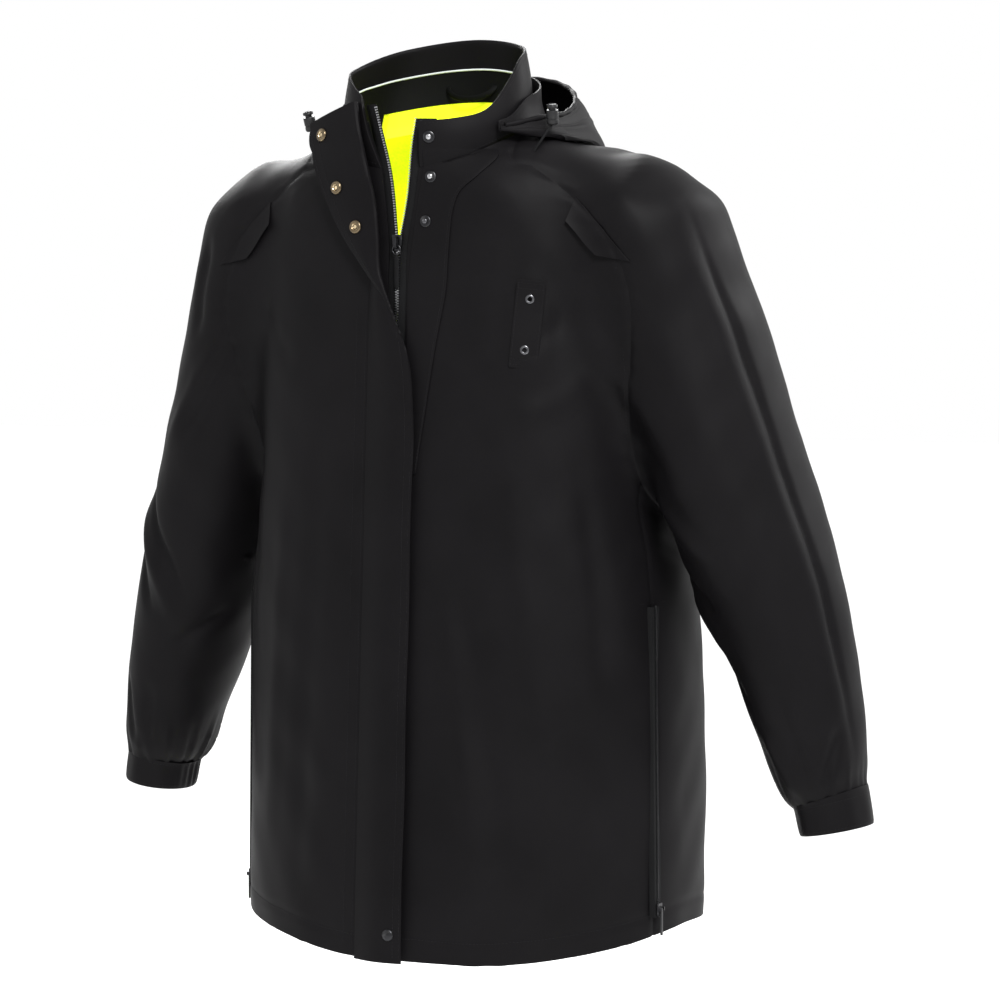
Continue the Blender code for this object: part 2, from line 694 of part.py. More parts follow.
def make_snaps(surface, socket_finish, stud_finish):
    """Snap sockets on the turned-back flap, studs beside the zip, and the pair at the hem."""
    sockets = (("snap_socket_top", -0.0923, 0.008), ("snap_socket_middle", -0.0680, -0.0456),
               ("snap_socket_lower", -0.0427, -0.085))
    studs = (("snap_stud_top", 0.0350, 0.006),
             ("snap_stud_middle", 0.0350, -0.048),
             ("snap_stud_lower", 0.0310, -0.080))
    hem = (("snap_socket_hem", 0.0120, HEM_SNAP_Z),)
    for group, radius, height, finish in ((sockets, SNAP_RADIUS, 0.0026, socket_finish),
                                          (studs, SNAP_RADIUS * 0.9, 0.0024, stud_finish),
                                          (hem, SNAP_RADIUS * 0.9, 0.0020, stud_finish)):
        for name, x, z in group:
            y, normal = surface.front(x, z)
            centre = Vector((x, y, z)) + normal * 0.0007
            turned(name, snap_profile(radius, height), centre, normal, finish)
    stud_y = zip_plane(HEM_SNAP_Z)
    hem_stud = (0.0190, stud_y - 0.0035, HEM_SNAP_Z)
    turned("snap_stud_hem", snap_profile(SNAP_RADIUS * 0.8, 0.0022), hem_stud, (0, -1, 0), stud_finish)


def make_badge(surface, shell_finish, metal):
    """A flat tab on the wearer's left chest with two eyelets for a badge."""
    centre = Vector((0.139, 0, -0.182))
    half_width = 0.0145
    half_height = 0.0435
    lean = math.radians(6)
    yaw = math.radians(24)
    centre.y = surface.front(centre.x, centre.z)[0] - 0.0050
    turn = Matrix.Rotation(yaw, 4, "Z") @ Matrix.Rotation(lean, 4, "Y")
    place = Matrix.Translation(centre) @ turn
    tab = box("badge_tab", (-half_width, 0, -half_height), (half_width, 0.0018, half_height), shell_finish)
    holes = []
    bore = ((0, -0.01), (0.0044, -0.01), (0.0044, 0.01), (0, 0.01))
    eyelet = ((0.0014, -0.0006), (0.0036, -0.0010), (0.0041, -0.0004), (0.0041, 0.0016), (0.0014, 0.0016))
    for name, height in (("badge_eyelet_top", 0.025), ("badge_eyelet_bottom", -0.025)):
        hole = turned("hole", bore, (0, 0, height), (0, 1, 0), None)
        combine(tab, hole, "DIFFERENCE")
        holes.append(turned(name, eyelet, (0, 0, height), (0, 1, 0), metal, 16, True))
    for piece in [tab] + holes:
        piece.data.transform(place)


def make_shoulder_flaps(surface, shell_finish):
    upper = ((0.172, -0.059), (0.188, -0.075), (0.205, -0.094), (0.222, -0.114))
    lower = ((0.165, -0.080), (0.176, -0.092), (0.188, -0.104), (0.200, -0.116))
    flap = surface.front_plate("shoulder_flap_left", strip(upper, lower, 4), 0.0030, 0.0046, shell_finish)
    mirrored(flap, "shoulder_flap_right")


def make_vents(surface, tape, metal, strap):
    """The zips in the side seams, their sliders at the hem, and their pulls."""
    heights = np.linspace(VENT_TOP_Z, VENT_BOTTOM_Z, 6)

    def x_at(z):
        return float(np.interp(z, [VENT_BOTTOM_Z, VENT_TOP_Z],
                               [surface.side(SIDE_SEAM_Y + 0.004, VENT_BOTTOM_Z),
                                surface.side(SIDE_SEAM_Y + 0.004, VENT_TOP_Z)]))

    def layer(lift, half):
        rows = [[(x_at(z) + lift, SIDE_SEAM_Y + side * half, z) for side in (-1, 1)] for z in heights]
        return np.array(rows)

    base = 0.0031
    band = plate("vent_tape_left", layer(base + 0.0008, 0.0075), layer(base, 0.0075), tape)
    mirrored(band, "vent_tape_right")
    teeth = plate("vent_teeth_left", layer(base + 0.0030, 0.0017), layer(base + 0.0012, 0.0017), metal)
    mirrored(teeth, "vent_teeth_right")
    middle = VENT_BOTTOM_Z + 0.008
    x = x_at(middle) + base + 0.0034
    slider = box("vent_slider_left", (x, SIDE_SEAM_Y - 0.0042, middle - 0.006),
                 (x + 0.0020, SIDE_SEAM_Y + 0.0042, middle + 0.006), metal)
    for side in (-1, 1):
        ear = box("ear", (x + 0.0010, SIDE_SEAM_Y + side * 0.0028 - 0.0008, middle - 0.0014),
                  (x + 0.0050, SIDE_SEAM_Y + side * 0.0028 + 0.0008, middle + 0.0022))
        combine(slider, ear, "UNION")
    pull = box("vent_pull_left", (x + 0.0025, SIDE_SEAM_Y - 0.0016, middle - 0.026),
               (x + 0.0040, SIDE_SEAM_Y + 0.0016, middle + 0.0006), strap)
    hinge = (x + 0.0032, SIDE_SEAM_Y, middle)
    put_origin(pull, hinge)
    mirrored(slider, "vent_slider_right")
    right = mirrored(pull, "vent_pull_right")
    right.location = (-hinge[0], hinge[1], hinge[2])


def make_cord_locks(lock_finish):
    """A spring lock on each end of the hood's cord, with the button that frees it."""
    turn = math.radians(98)
    ring = hood_ring(turn)
    out = ring[np.argmax(ring[:, 0])]
    centre = Vector((out[0] + 0.0088, out[1] - 0.002, 0.024))
    axis = Vector((0.10, -0.25, 0.96)).normalized()
    barrel_profile = ((0, -0.0085), (0.0050, -0.0085), (0.0060, -0.0070), (0.0060, 0.0060),
                      (0.0040, 0.0060), (0.0040, 0.0020), (0, 0.0020))
    button_profile = ((0, 0.0055), (0.0034, 0.0055), (0.0034, 0.0080), (0.0052, 0.0084),
                      (0.0052, 0.0108), (0.0040, 0.0122), (0, 0.0122))
    barrel = turned("cord_lock_left", barrel_profile, centre, axis, lock_finish, 12)
    button = turned("cord_lock_button_left", button_profile, centre, axis, lock_finish, 12)
    mirrored(barrel, "cord_lock_right")
    mirrored(button, "cord_lock_button_right")


def make_hanger(finish):
    """The loop inside the back of the neck that the coat hangs from."""
    outline = []
    for radius in (0.030, 0.024):
        bends = np.linspace(math.pi, 2 * math.pi, 9)
        arc = [(radius * math.cos(bend), radius * 0.45 * math.sin(bend)) for bend in bends]
        outline += arc if radius > 0.025 else arc[::-1]
    points = [(x, z + 0.046) for x, z in outline]
    return prism("hanger_loop", points, 0.0680, 0.0698, "Y", finish)


def main():
    clear_scene()
    black = paint("black_shell", (0.012, 0.012, 0.013), 0.55)
    band = paint("black_facing", (0.010, 0.010, 0.011), 0.7)
    lime = paint("hi_vis_lining", (0.70, 1.0, 0.03), 0.6)
    silver = paint("silver_piping", (0.72, 0.74, 0.74), 0.35)
    brass = paint("antique_brass", (0.30, 0.24, 0.15), 0.35, 1.0)
    steel = paint("gunmetal", (0.25, 0.25, 0.27), 0.35, 1.0)
    tape = paint("zip_tape", (0.010, 0.010, 0.010), 0.8)
    plastic = paint("black_plastic", (0.015, 0.015, 0.015), 0.4)

    front_left, front_right, back = make_shell(black)
    make_sleeve_tubes(black, band, lime)
    make_lining(lime)
    collar = make_collar(black, band, silver)
    sleeves = [bpy.data.objects[f"raglan_sleeve_{side}"] for side in ("left", "right")]
    surface = Surface([front_left, front_right, back, collar] + sleeves)
    make_zip(tape, steel)
    make_slider(steel, plastic)
    flap = make_flaps(black)
    placket = make_placket(surface, black)
    lower = bpy.data.objects["storm_flap_lower"]
    bpy.context.view_layer.update()
    make_snaps(Surface([front_left, collar, flap, placket, lower]), brass, steel)
    make_badge(surface, black, steel)
    make_shoulder_flaps(surface, black)
    make_vents(surface, tape, steel, plastic)
    make_hood(surface, black, plastic)
    make_cord_locks(plastic)
    make_hanger(band)


main()
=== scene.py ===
"""The hooded rain coat in its fabric, zips and metal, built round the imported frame.

Metres. +Z is up, the front faces -Y and the wearer's left is +X. The origin is the centre of the neck base.
"""
import math

import bmesh
import bpy
import numpy as np
from mathutils import Matrix, Vector
from mathutils.bvhtree import BVHTree


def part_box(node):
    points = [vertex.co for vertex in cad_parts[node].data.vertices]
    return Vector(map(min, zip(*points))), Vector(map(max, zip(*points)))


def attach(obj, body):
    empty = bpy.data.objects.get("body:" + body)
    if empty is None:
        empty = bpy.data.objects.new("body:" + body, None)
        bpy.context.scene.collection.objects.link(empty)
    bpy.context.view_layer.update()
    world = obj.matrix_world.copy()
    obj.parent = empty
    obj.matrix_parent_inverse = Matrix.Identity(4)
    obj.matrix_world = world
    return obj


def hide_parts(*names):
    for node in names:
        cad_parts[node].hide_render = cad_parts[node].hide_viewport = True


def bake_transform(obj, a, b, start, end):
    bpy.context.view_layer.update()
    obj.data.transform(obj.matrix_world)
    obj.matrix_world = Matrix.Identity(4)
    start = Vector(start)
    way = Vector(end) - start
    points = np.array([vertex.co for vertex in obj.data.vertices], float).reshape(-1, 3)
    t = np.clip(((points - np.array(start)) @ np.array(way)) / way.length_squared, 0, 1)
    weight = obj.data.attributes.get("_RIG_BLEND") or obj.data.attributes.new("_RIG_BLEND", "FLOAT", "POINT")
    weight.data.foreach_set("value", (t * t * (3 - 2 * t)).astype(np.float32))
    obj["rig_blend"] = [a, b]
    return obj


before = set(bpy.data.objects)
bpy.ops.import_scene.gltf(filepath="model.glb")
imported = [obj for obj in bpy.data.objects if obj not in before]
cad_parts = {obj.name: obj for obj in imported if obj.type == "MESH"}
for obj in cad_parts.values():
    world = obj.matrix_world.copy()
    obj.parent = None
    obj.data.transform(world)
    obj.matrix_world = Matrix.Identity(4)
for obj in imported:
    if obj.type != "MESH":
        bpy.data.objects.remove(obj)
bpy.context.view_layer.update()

# ---------------------------------------------------------------- camera, light and floor

CAMERA_TARGET = Vector((0.060, 0.032, -0.360))
CAMERA_AZIMUTH = math.radians(28)
CAMERA_ELEVATION = math.radians(3)
CAMERA_DISTANCE = 3.6
CAMERA_LENS = 127.8
FLOOR_Z = -1.45
FLOOR_HALF = 30


def aim(thing, place, target):
    thing.location = place
    thing.rotation_euler = (Vector(target) - Vector(place)).to_track_quat("-Z", "Y").to_euler()


def add_light(name, place, target, size, power):
    lamp = bpy.data.lights.new(name, "AREA")
    lamp.shape = "RECTANGLE"
    lamp.size, lamp.size_y = size
    lamp.energy = power
    thing = bpy.data.objects.new(name, lamp)
    bpy.context.scene.collection.objects.link(thing)
    aim(thing, place, target)


def make_stage():
    camera = bpy.data.objects.new("camera", bpy.data.cameras.new("camera"))
    bpy.context.scene.collection.objects.link(camera)
    turn, rise = CAMERA_AZIMUTH, CAMERA_ELEVATION
    away = Vector((math.sin(turn) * math.cos(rise), -math.cos(turn) * math.cos(rise), math.sin(rise)))
    aim(camera, CAMERA_TARGET + away * CAMERA_DISTANCE, CAMERA_TARGET)
    camera.data.lens = CAMERA_LENS
    camera.data.sensor_width = 36
    camera.data.clip_end = 100
    bpy.context.scene.camera = camera

    mesh = bpy.data.meshes.new("floor")
    square = ((-1, -1), (1, -1), (1, 1), (-1, 1))
    mesh.from_pydata([(x * FLOOR_HALF, y * FLOOR_HALF, FLOOR_Z) for x, y in square], [], [(0, 1, 2, 3)])
    floor = bpy.data.objects.new("floor", mesh)
    bpy.context.scene.collection.objects.link(floor)
    pale = bpy.data.materials.new("floor_pale")
    pale.use_nodes = True
    shader = pale.node_tree.nodes["Principled BSDF"]
    for name, value in (("Base Color", (0.86, 0.86, 0.86, 1)), ("Roughness", 0.9),
                        ("Emission Color", (1, 1, 1, 1)), ("Emission Strength", 0.25)):
        shader.inputs[name].default_value = value
    mesh.materials.append(pale)

    world = bpy.data.worlds.new("studio")
    bpy.context.scene.world = world
    world.use_nodes = True
    sky = world.node_tree.nodes["Background"]
    sky.inputs["Color"].default_value = (1, 1, 1, 1)
    sky.inputs["Strength"].default_value = 1.0
    bpy.context.scene.view_settings.view_transform = "Standard"
    add_light("key", (2.4, -2.4, 2.7), (0.05, 0, -0.2), (1.3, 1.3), 330)
    add_light("fill", (-2.9, -2.2, 0.9), (-0.05, 0, -0.3), (2.0, 2.2), 16)
    add_light("back_left", (1.9, 2.4, 1.6), (0, 0.1, -0.3), (1.6, 1.8), 110)
    add_light("back_right", (-1.9, 2.4, 1.6), (0, 0.1, -0.3), (1.6, 1.8), 110)


# ---------------------------------------------------------------- materials


class Finish:
    """A material under way: its Principled shader, and short ways to add nodes to it."""

    def __init__(self, name, colour):
        self.material = bpy.data.materials.new(name)
        self.material.use_nodes = True
        self.material.diffuse_color = (*colour, 1)
        self.tree = self.material.node_tree
        self.shader = self.tree.nodes["Principled BSDF"]
        self.place = self.add("ShaderNodeTexCoord", {}).outputs["Object"]

    def put(self, node, values):
        """Gives a node's inputs plain values, or joins them to other nodes' outputs."""
        for name, value in values.items():
            if isinstance(value, bpy.types.NodeSocket):
                self.tree.links.new(value, node.inputs[name])
            else:
                node.inputs[name].default_value = value

    def add(self, kind, values, **settings):
        node = self.tree.nodes.new(kind)
        for key, value in settings.items():
            setattr(node, key, value)
        self.put(node, values)
        return node

    def calc(self, operation, first, second=0.0):
        return self.add("ShaderNodeMath", {0: first, 1: second}, operation=operation).outputs[0]

    def noise(self, scale, detail=2.0):
        values = {"Vector": self.place, "Scale": scale, "Detail": detail}
        return self.add("ShaderNodeTexNoise", values).outputs["Fac"]

    def ranged(self, value, low, high, start=0.0, end=1.0):
        """A value between start and end, moved to lie between low and high."""
        values = {"Value": value, "From Min": start, "From Max": end, "To Min": low, "To Max": high}
        return self.add("ShaderNodeMapRange", values).outputs[0]

    def raised(self, height, strength, distance):
        bump = self.add("ShaderNodeBump", {"Height": height, "Strength": strength, "Distance": distance})
        self.put(self.shader, {"Normal": bump.outputs[0]})


def fabric(name, colour, roughness, weave=0.00045, glow=0.0, depth=0.12):
    """Woven cloth: a fine over-and-under weave, soft mottling, uneven gloss, and a painted glow where one is
    given.
    """
    cloth = Finish(name, colour)
    split = cloth.add("ShaderNodeSeparateXYZ", {0: cloth.place})
    scaled = [cloth.calc("MULTIPLY", split.outputs[axis], math.pi / weave) for axis in range(3)]
    waves = [cloth.calc("SINE", value) for value in scaled]
    crossings = [cloth.calc("MULTIPLY", waves[a], waves[b]) for a, b in ((0, 2), (1, 2), (0, 1))]
    threads = cloth.calc("ADD", cloth.calc("ADD", crossings[0], crossings[1]), crossings[2])
    grain = cloth.noise(420, 3)
    cloud = cloth.noise(11, 4)
    mottle = cloth.ranged(cloud, 0.84, 1.18, 0.3, 0.7)
    shade = cloth.calc("MULTIPLY", mottle, cloth.ranged(grain, 0.90, 1.10, 0.25, 0.75))
    dye = cloth.add("ShaderNodeVectorMath", {0: colour, "Scale": shade}, operation="SCALE").outputs[0]
    gloss = cloth.ranged(cloud, roughness - 0.06, roughness + 0.06)
    cloth.put(cloth.shader, {"Base Color": dye, "Roughness": gloss, "Specular IOR Level": 0.05})
    cloth.raised(cloth.calc("ADD", threads, grain), depth, 0.0002)
    # Painted light: the cloth gives off light of its own, standing in for the hi-vis yellow's fluorescent
    # brightness under the lamps.
    if glow:
        cloth.put(cloth.shader, {"Emission Color": dye, "Emission Strength": glow})
    return cloth.material


def hard(name, colour, roughness, metallic, worn, wear, scale=900):
    """Moulded plastic or plated metal: fine tumbling marks, uneven gloss and paler worn spots."""
    plate = Finish(name, colour)
    fine = plate.noise(scale, 4)
    mask = plate.ranged(plate.noise(scale / 6), 0, wear, 0.55, 0.75)
    mix = plate.add("ShaderNodeMix", {"A": (*colour, 1), "B": (*worn, 1), "Factor": mask}, data_type="RGBA")
    gloss = plate.ranged(fine, max(0.05, roughness - 0.1), roughness + 0.1)
    plate.put(plate.shader, {"Base Color": mix.outputs["Result"], "Roughness": gloss, "Metallic": metallic,
                             "Specular IOR Level": 0.5 if metallic else 0.22})
    plate.raised(fine, 0.08, 0.0001)
    return plate.material


SHELL_CLOTH = fabric("shell_cloth", (0.0034, 0.0031, 0.0035), 0.52)
FLAP_CLOTH = fabric("flap_cloth", (0.0032, 0.0029, 0.0033), 0.52)
FACING_CLOTH = fabric("facing_cloth", (0.0022, 0.0023, 0.0022), 0.60, 0.0006, depth=0.2)
# The lining's glow is painted light, an emission that brightens the hi-vis yellow as fluorescence would.
LINING_CLOTH = fabric("lining_cloth", (0.72, 0.82, 0.016), 0.55, 0.0005, glow=0.34)
PIPING_CLOTH = fabric("piping_cloth", (0.50, 0.53, 0.52), 0.35, 0.0004)
TAPE_CLOTH = fabric("tape_cloth", (0.0050, 0.0050, 0.0053), 0.7, 0.0007, depth=0.4)
THREAD = fabric("thread", (0.011, 0.0105, 0.0115), 0.5, 0.0003, depth=0.5)
BRASS = hard("antique_brass_plate", (0.115, 0.088, 0.055), 0.30, 1.0, (0.42, 0.34, 0.22), 0.55)
BRIGHT_BRASS = hard("bright_brass_plate", (0.50, 0.40, 0.25), 0.28, 1.0, (0.7, 0.6, 0.42), 0.4)
STEEL = hard("gunmetal_plate", (0.075, 0.075, 0.08), 0.30, 1.0, (0.35, 0.35, 0.35), 0.45)
DARK_STEEL = hard("dark_plate", (0.026, 0.026, 0.028), 0.34, 1.0, (0.12, 0.12, 0.12), 0.4)
TEETH = hard("teeth_plate", (0.30, 0.30, 0.31), 0.32, 1.0, (0.4, 0.4, 0.4), 0.4)
BRIGHT_STEEL = hard("bright_plate", (0.34, 0.34, 0.35), 0.30, 1.0, (0.6, 0.6, 0.6), 0.4)
PLASTIC = hard("moulded_black", (0.0080, 0.0080, 0.0085), 0.42, 0.0, (0.03, 0.03, 0.03), 0.3, 1500)

# ---------------------------------------------------------------- the coat's own surface, by formula

# Rings of the body from hem to neck: height at front, side and back, half width, front y, back y, squareness
BODY_RINGS = (
    (-0.812, -0.786, -0.800, 0.238, -0.1075, 0.288, 2.25),
    (-0.620, -0.620, -0.620, 0.237, -0.0975, 0.276, 2.35),
    (-0.450, -0.450, -0.450, 0.230, -0.0886, 0.260, 2.55),
    (-0.340, -0.340, -0.340, 0.213, -0.0828, 0.244, 2.80),
    (-0.240, -0.240, -0.240, 0.211, -0.0776, 0.224, 2.80),
    (-0.150, -0.150, -0.150, 0.213, -0.0729, 0.198, 2.60),
    (-0.098, -0.085, -0.090, 0.212, -0.0702, 0.172, 2.50),
    (-0.064, -0.033, -0.036, 0.196, -0.0692, 0.142, 2.35),
    (-0.042, -0.006, 0.004, 0.152, -0.0685, 0.112, 2.15),
    (-0.028, 0.012, 0.030, 0.098, -0.0680, 0.090, 2.00),
)
NECK = len(BODY_RINGS) - 1
# Rings of the left sleeve from shoulder to cuff: centre x, y, z, then half width outward and fore-and-aft
SLEEVE_RINGS = (
    (0.150, 0.050, -0.066, 0.058, 0.075),
    (0.197, 0.055, -0.079, 0.080, 0.088),
    (0.221, 0.064, -0.125, 0.083, 0.094),
    (0.240, 0.075, -0.185, 0.080, 0.098),
    (0.266, 0.084, -0.255, 0.074, 0.100),
    (0.297, 0.0915, -0.340, 0.070, 0.098),
    (0.325, 0.099, -0.420, 0.069, 0.090),
    (0.349, 0.102, -0.495, 0.063, 0.078),
    (0.371, 0.104, -0.570, 0.054, 0.068),
    (0.386, 0.104, -0.630, 0.045, 0.057),
    (0.394, 0.1045, -0.652, 0.037, 0.046),
    (0.400, 0.105, -0.682, 0.036, 0.044),
)
CUFF_SEAM = 10.0
# Where the raglan sleeve meets the body, seen from the front
RAGLAN_SEAM = ((0.1042, 0.2), (0.1042, 0.0015), (0.135, -0.027), (0.170, -0.054), (0.213, -0.100),
               (0.233, -0.160), (0.2260, -0.230), (0.2165, -0.290), (0.2200, -0.350), (0.2450, -0.450))
# The zip's chains above the slider, seen from the front
RIGHT_CHAIN = ((0.000, -0.100), (-0.0085, -0.0355), (-0.0220, 0.0150), (-0.0283, 0.0370))
LEFT_CHAIN = ((0.000, -0.100), (0.0080, -0.0560), (0.0125, -0.0050), (0.0169, 0.0235))
SIDE_SEAM_Y = 0.034
ZIP_HALF_SLOT = 0.0105
ZIP_SLOPE = 0.0523
ZIP_BOTTOM_Z = -0.780
CUFF_THICK = 0.0036
CUFF_END = len(SLEEVE_RINGS) - 1
# Beyond BODY_SIDE a point is on a sleeve, beyond SLEEVE_SIDE on its lower half; the neck is within NECK_SIDE
BODY_SIDE = 0.262
SLEEVE_SIDE = 0.3
NECK_SIDE = 0.103
# The badge tab's middle on the front, and the cloth that stands out under it: half width, reach, half height
BADGE_MIDDLE = (0.139, -0.182)
BADGE_PAD = (0.022, 0.1, 0.052)
BADGE_RISE = 0.0042
HEM_LINE = 0.022
BAND_LOW = 0.20
PIPING_HEIGHT = 0.62
COLLAR_CENTRE = np.array([0.0, 0.010, 0.0])
COLLAR_ENDS = (-13, -347)
# The collar's top edge from the right front round the back to the left front: turn in degrees, height
COLLAR_TOP = ((-34, 0.048), (-60, 0.068), (-90, 0.080), (-135, 0.101), (-180, 0.110), (-225, 0.101),
              (-262, 0.086), (-282, 0.060), (-302, 0.031), (-325, 0.0215), (-345, 0.0195))
HOOD_SWEEP = 118
HOOD_CLEAR = 0.0046
# The hood from its inner rim down, round and up to its outer rim, at the centre back: how far out, how high
HOOD_BACK = ((0.004, 0.078), (0.006, 0.045), (0.022, 0.010), (0.055, -0.030), (0.088, -0.040),
             (0.104, -0.018), (0.100, 0.022), (0.086, 0.054), (0.070, 0.074))
# The same at the hood's front ends, beside the collar
HOOD_FRONT = ((0.004, 0.038), (0.005, 0.031), (0.007, 0.020), (0.012, 0.008), (0.019, 0.004), (0.025, 0.005),
              (0.029, 0.010), (0.029, 0.016), (0.027, 0.022))
LOCK_CENTRE = (0.1396, -0.0073, 0.0240)
LOCK_AXIS = (0.1003, -0.2507, 0.9628)
# The cord's short end from the lock's underside down: inward and forward steps, then height
CORD_DROP = ((0, 0, 0), (-0.002, -0.006, -0.006), (-0.006, -0.012, -0.016), (-0.012, -0.015, -0.026),
             (-0.017, -0.016, -0.036))
# The storm flap's fold and free edge from the top down, then the fold's run across the zip to where it ends
FLAP_FOLD = ((-0.0500, -0.0635, 0.040), (-0.0440, -0.0680, 0.012), (-0.0330, -0.0725, -0.025),
             (-0.0225, -0.0745, -0.060), (-0.0175, -0.0770, -0.095), (-0.0150, -0.0790, -0.126))
FLAP_EDGE = ((-0.1120, -0.0520, 0.020), (-0.1070, -0.0580, -0.003), (-0.0980, -0.0660, -0.027),
             (-0.0830, -0.0710, -0.057), (-0.0610, -0.0760, -0.093), (-0.0345, -0.0800, -0.126))
FLAP_ROOT = (0.010, 0.011, 0.012, 0.012, 0.013, 0.014)
FLAP_BREAK = ((-0.0070, -0.152, -0.0135, -0.154), (0.0040, -0.178, 0.0010, -0.179),
              (0.0150, -0.203, 0.0140, -0.203), (0.0205, -0.226, 0.0208, -0.226),
              (0.0240, -0.255, 0.0244, -0.255), (0.0254, -0.290, 0.0260, -0.290))
FLAP_SEAM_X = -0.031
FLAP_EDGE_X = 0.026
FLAP_BOTTOM_Z = -0.814
FLAP_COLUMNS = 46
TOOTH_PITCH = 0.0026
TOOTH_HALF = 0.00115
TOOTH_LENGTH = 0.00120
# A tooth's corners go out along the tooth, then along the chain, on its back and then on its front
TOOTH_PROFILE = ((-1.0, 0.36), (-0.55, 0.50), (0.45, 0.50), (1.0, 0.42))
TOOTH_FACES = ((0, 1, 3, 2), (2, 3, 5, 4), (4, 5, 7, 6), (8, 10, 11, 9), (10, 12, 13, 11), (12, 14, 15, 13),
               (0, 8, 9, 1), (6, 7, 15, 14), (0, 2, 10, 8), (2, 4, 12, 10), (4, 6, 14, 12),
               (1, 9, 11, 3), (3, 11, 13, 5), (5, 13, 15, 7))
# The zip's ribbon from the teeth outward: distance from the chain, height above the coat's front edge
RIBBON = ((0.0002, -0.0013), (0.0034, -0.0012), (0.0060, -0.0015), (0.0095, -0.0020), (0.0125, -0.0028),
          (0.0180, -0.0030))
FRONT = np.array([0.0, -1.0, 0.0])
SOCKETS = (("top", -0.0923, 0.008), ("middle", -0.0680, -0.0456), ("lower", -0.0427, -0.085))
STUDS = (("top", 0.0350, 0.003), ("middle", 0.0350, -0.036), ("lower", 0.0310, -0.080))
VENT_TOP_Z = -0.462
VENT_BOTTOM_Z = -0.772
VENT_X_TOP = 0.23277
VENT_X_BOTTOM = 0.23611
SHELL = ("front_left", "front_right", "back", "sleeve_left", "sleeve_right")
VOXEL = 0.0077
# The slow unevenness of the hanging cloth: wave length and height
WAVES = ((0.30, 0.0016), (0.19, 0.0013), (0.12, 0.0009), (0.075, 0.0006), (0.045, 0.00035))
THREAD_WIDTH = 0.00042
THREAD_LIFT = 0.0001
CLOTH_THICK = 0.0012
LINING_THICK = 0.0006
LINING_GAP = 0.0046
# The black cloth behind the underarm seams: half its width, its top, and how deep it lies
UNDERARM_WIDTH = 0.030
UNDERARM_TOP = -0.24
UNDERARM_DEPTH = 0.0032
# Below the neck seam, a collar height of -1 stands for this far down and this far in
TUCKED_DEPTH = 0.090
TUCKED_INSET = 0.015
# The cuff's top edge turns in this far, over this share of its height
CUFF_LIP = 0.0065
CUFF_LIP_SHARE = 0.16


def smooth(rows, places):
    """Catmull-Rom values through rows at places 0, 1, 2 and so on."""
    rows = np.asarray(rows, float)
    places = np.clip(np.atleast_1d(np.asarray(places, float)), 0, len(rows) - 1)
    low = np.minimum(places.astype(int), len(rows) - 2)
    t = (places - low)[:, None]
    before = rows[np.maximum(low - 1, 0)]
    first = rows[low]
    second = rows[low + 1]
    after = rows[np.minimum(low + 2, len(rows) - 1)]
    return (
        (2 * t**3 - 3 * t**2 + 1) * first
        + (t**3 - 2 * t**2 + t) * (second - before) / 2
        + (3 * t**2 - 2 * t**3) * second
        + (t**3 - t**2) * (after - first) / 2
    )


def smoothstep(value, low, high):
    t = np.clip((np.asarray(value, float) - low) / (high - low), 0, 1)
    return t * t * (3 - 2 * t)


def full_turn(columns):
    return np.arange(columns) * 2 * math.pi / columns


def body_grid(places, angles):
    """Points on the body's outside. Angle 0 is the centre front and a quarter turn is the wearer's left."""
    rows = smooth(BODY_RINGS, places)[:, None, :]
    z_front, z_side, z_back, half_width, y_front, y_back, square = np.moveaxis(rows, 2, 0)
    sine = np.sin(angles)[None, :]
    cosine = np.cos(angles)[None, :]
    x = half_width * np.sign(sine) * np.abs(sine) ** (2 / square)
    y = (y_front + y_back) / 2 - (y_back - y_front) / 2 * np.sign(cosine) * np.abs(cosine) ** (2 / square)
    z = z_side + (np.where(cosine > 0, z_front, z_back) - z_side) * np.abs(cosine) ** 1.5
    return np.stack([x, y, z * np.ones_like(x)], axis=-1)


def sleeve_frame(places):
    rows = smooth(SLEEVE_RINGS, places)
    ahead = smooth(SLEEVE_RINGS, np.asarray(places) + 0.25)
    behind = smooth(SLEEVE_RINGS, np.asarray(places) - 0.25)
    along = (ahead - behind)[:, :3]
    along /= np.linalg.norm(along, axis=1, keepdims=True)
    back = np.array([0.0, 1.0, 0.0]) - along * along[:, 1:2]
    back /= np.linalg.norm(back, axis=1, keepdims=True)
    outward = np.cross(along, back)
    outward *= np.sign(outward[:, :1])
    return rows, outward, back


def sleeve_grid(places, angles, grow=0.0):
    """Points on the left sleeve's outside. Angle 0 faces outward and a quarter turn faces back."""
    rows, outward, back = sleeve_frame(places)
    return (
        rows[:, None, :3]
        + outward[:, None, :] * ((rows[:, None, 3:4] + grow) * np.cos(angles)[None, :, None])
        + back[:, None, :] * ((rows[:, None, 4:5] + grow) * np.sin(angles)[None, :, None])
    )


def chain_line(chain, offset):
    """The zip's line from the hem to the top of the neck, as (x, z), moved sideways by an offset."""
    curve = smooth(chain, np.linspace(0, len(chain) - 1, 60))
    straight = [(0.0, z) for z in np.arange(ZIP_BOTTOM_Z, chain[0][1] - 0.004, 0.006)]
    return np.array(straight + [tuple(place) for place in curve]) + [offset, 0]


def zip_plane(z):
    """Front y of the zip, along the coat's straight front edge and then straight up beside the neck."""
    z = np.asarray(z, float)
    chest_z, chest_y = BODY_RINGS[6][0], BODY_RINGS[6][4]
    low = chest_y - ZIP_SLOPE * (chest_z - z)
    return np.where(z < -0.05, low, chest_y - ZIP_SLOPE * (chest_z + 0.05) + (z + 0.05) * 0.03)


# ---------------------------------------------------------------- mesh helpers


def stands_for(thing, body, slot, *nodes):
    """Says which body a piece rides (None if it bends) and the nodes it replaces; the slot of its finish is
    not used.
    """
    if body:
        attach(thing, body)
    if nodes:
        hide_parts(*nodes)
    return thing


def link(name, mesh):
    made = bpy.data.objects.new(name, mesh)
    bpy.context.scene.collection.objects.link(made)
    return made


